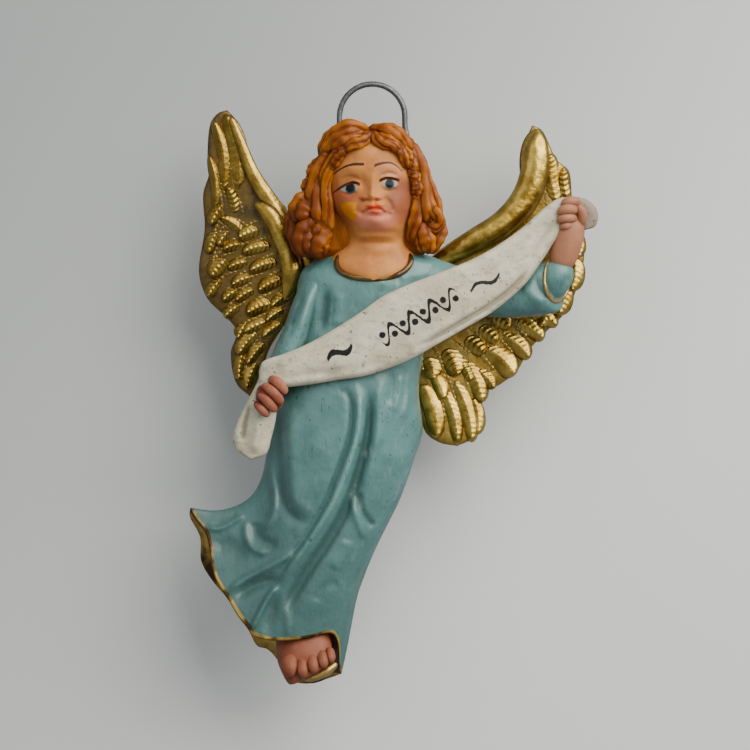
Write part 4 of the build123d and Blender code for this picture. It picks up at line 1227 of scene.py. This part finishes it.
def banner_white(name, marked):
    """Off-white paint, yellowed in places, grey in the folds and along the edges from grime and
    painted shade, darker at the curled end from painted shade and grime, with fine dark scratches
    and specks; a banner that is marked has ornaments brushed on in black."""
    material, shader, place = paint(name, Specular_IOR_Level=0.3)
    x, y, z = place.split()
    cloud, fine = place.noise(0.18, 3), place.noise(0.9, 4)
    white = cloud.rise(0.3, 0.7).mix((0.53, 0.485, 0.335, 1), (0.7, 0.655, 0.48, 1))
    # Grime and painted shade: grey-brown in the folds and along the edges.
    white = (place.attribute("fold").rise(-0.15, -0.9) * 0.75).mix(white, (0.2, 0.165, 0.105, 1))
    white = (fine.rise(0.56, 0.72) * 0.35).mix(white, (0.3, 0.235, 0.15, 1))
    white = (place.noise(0.09, 2).rise(0.52, 0.7) * 0.4).mix(white, (0.46, 0.33, 0.21, 1))
    smear = place.noise(0.35, 5, (1, 1, 1.8)).rise(0.56, 0.66)
    white = (smear * 0.35).mix(white, (0.24, 0.2, 0.145, 1))
    # Painted shade and grime: darker towards the curled end, past x = 52 mm.
    white = (x.rise(52, 58) * 0.8).mix(white, (0.235, 0.165, 0.125, 1))
    speck = place.noise(1.1, 1).rise(0.7, 0.73) * 0.8
    white = speck.mix(white, (0.09, 0.06, 0.04, 1))
    if marked:
        cosine, sine = 0.866, 0.5  # of the banner's slope, 30 degrees
        along, rise = x * cosine + z * sine, z * cosine - x * sine
        brush = (place.noise(1.2, 2) - 0.5) * 0.5
        along, rise = along + brush, rise + brush
        ink = x * 0
        for middle, level, reach, swing, pace, half in [
            # places along and across the banner, half length, height and pace of the wave
            (-45.3, -60.4, 4.1, 0.95, 0.82, 0.95),
            (-0.5, -63.8, 4.8, 0.95, 0.72, 0.6),
            (-21.2, -62.8, 12.4, 2.4, 0.967, 0.8),
        ]:
            local = along - middle
            line = rise - level + (local * pace).math("SINE") * swing
            width = half - (local / reach) ** 2 * half * 0.5
            mark = (abs(line) - width).rise(0.14, -0.1) * (abs(local) - reach).rise(0.3, -0.3)
            ink = ink.most(mark)
        bead = (local * (pace / np.pi)).math("FRACT") - 0.5
        height = rise - level - (local * pace).math("SINE").math("SIGN") * 0.7
        dot = ((bead * (np.pi / pace)) ** 2 + height**2).rise(1.05, 0.65)
        ink = ink.most(dot * (abs(local) - reach).rise(0.2, -0.2))
        white = ink.mix(white, (0.004, 0.004, 0.004, 1))
    white.into(shader, "Base Color")
    (0.42 + fine * 0.2).into(shader, "Roughness")
    (fine * 0.18 + cloud * 0.5).bump(0.6).into(shader, "Normal")
    return material


assemble(banner, banner_white("banner_paint", True), "banner", "banner")
scroll_paint = banner_white("scroll_paint", False)

tail_left = [(-31.4, -82), (-34.6, -88), (-37.6, -94), (-39, -98.8), (-38.2, -102), (-34, -105)]
tail_right = [(-25, -84), (-26.4, -89), (-27, -94), (-28.2, -98.8), (-29.6, -103.2), (-34, -105)]


def tail_relief(x, z):
    """A bright inner lobe beside a groove, down the length of the tail."""
    lobe = ridge(x, z, [(-31.4, -88), (-31.8, -94), (-32.6, -100), (-32.8, -103.6)], 1.1, 1.7)
    return lobe + ridge(x, z, [(-34, -89), (-35.6, -95), (-36.4, -100)], -0.9, 0.9)


tail_depth = ([0, 0.4, 1], [-13.5, -12.4, -11])
tail = slab(tail_left, tail_right, tail_depth, 2.2, 120, 60, tail_relief, power=3)
tail = surface("banner_tail_cast", tail, values=("fold",))
assemble(tail, scroll_paint, "banner", "banner_tail")

curl_left = [(55, -31.6), (56, -34), (57.5, -37), (59.6, -40.6)]
curl_right = [(55, -31.6), (59.5, -31.8), (62.4, -34), (63.4, -37), (62.4, -39.6), (59.6, -40.6)]
curl = slab(curl_left, curl_right, ([0, 1], [-9.5, -7.5]), 1.6, 80, 40, power=3)
curl = surface("banner_curl_cast", curl, values=("fold",))
assemble(curl, scroll_paint, "banner", "banner_curl")

# ------------------------------------------------------------ hanging wire
# A loop of bare steel wire, dulled grey, whose two ends are cast into the back of the head.

wire_steel, shader, place = paint("wire_steel", Metallic=0.9)
fine = place.noise(1.2, 3)
fine.rise(0.3, 0.7).mix((0.1, 0.105, 0.108, 1), (0.2, 0.205, 0.2, 1)).into(shader, "Base Color")
(0.38 + fine * 0.2).into(shader, "Roughness")
(fine * 0.1).bump(0.5).into(shader, "Normal")
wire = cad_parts["hanging_wire"]
wire.data.materials.clear()
wire.data.materials.append(wire_steel)
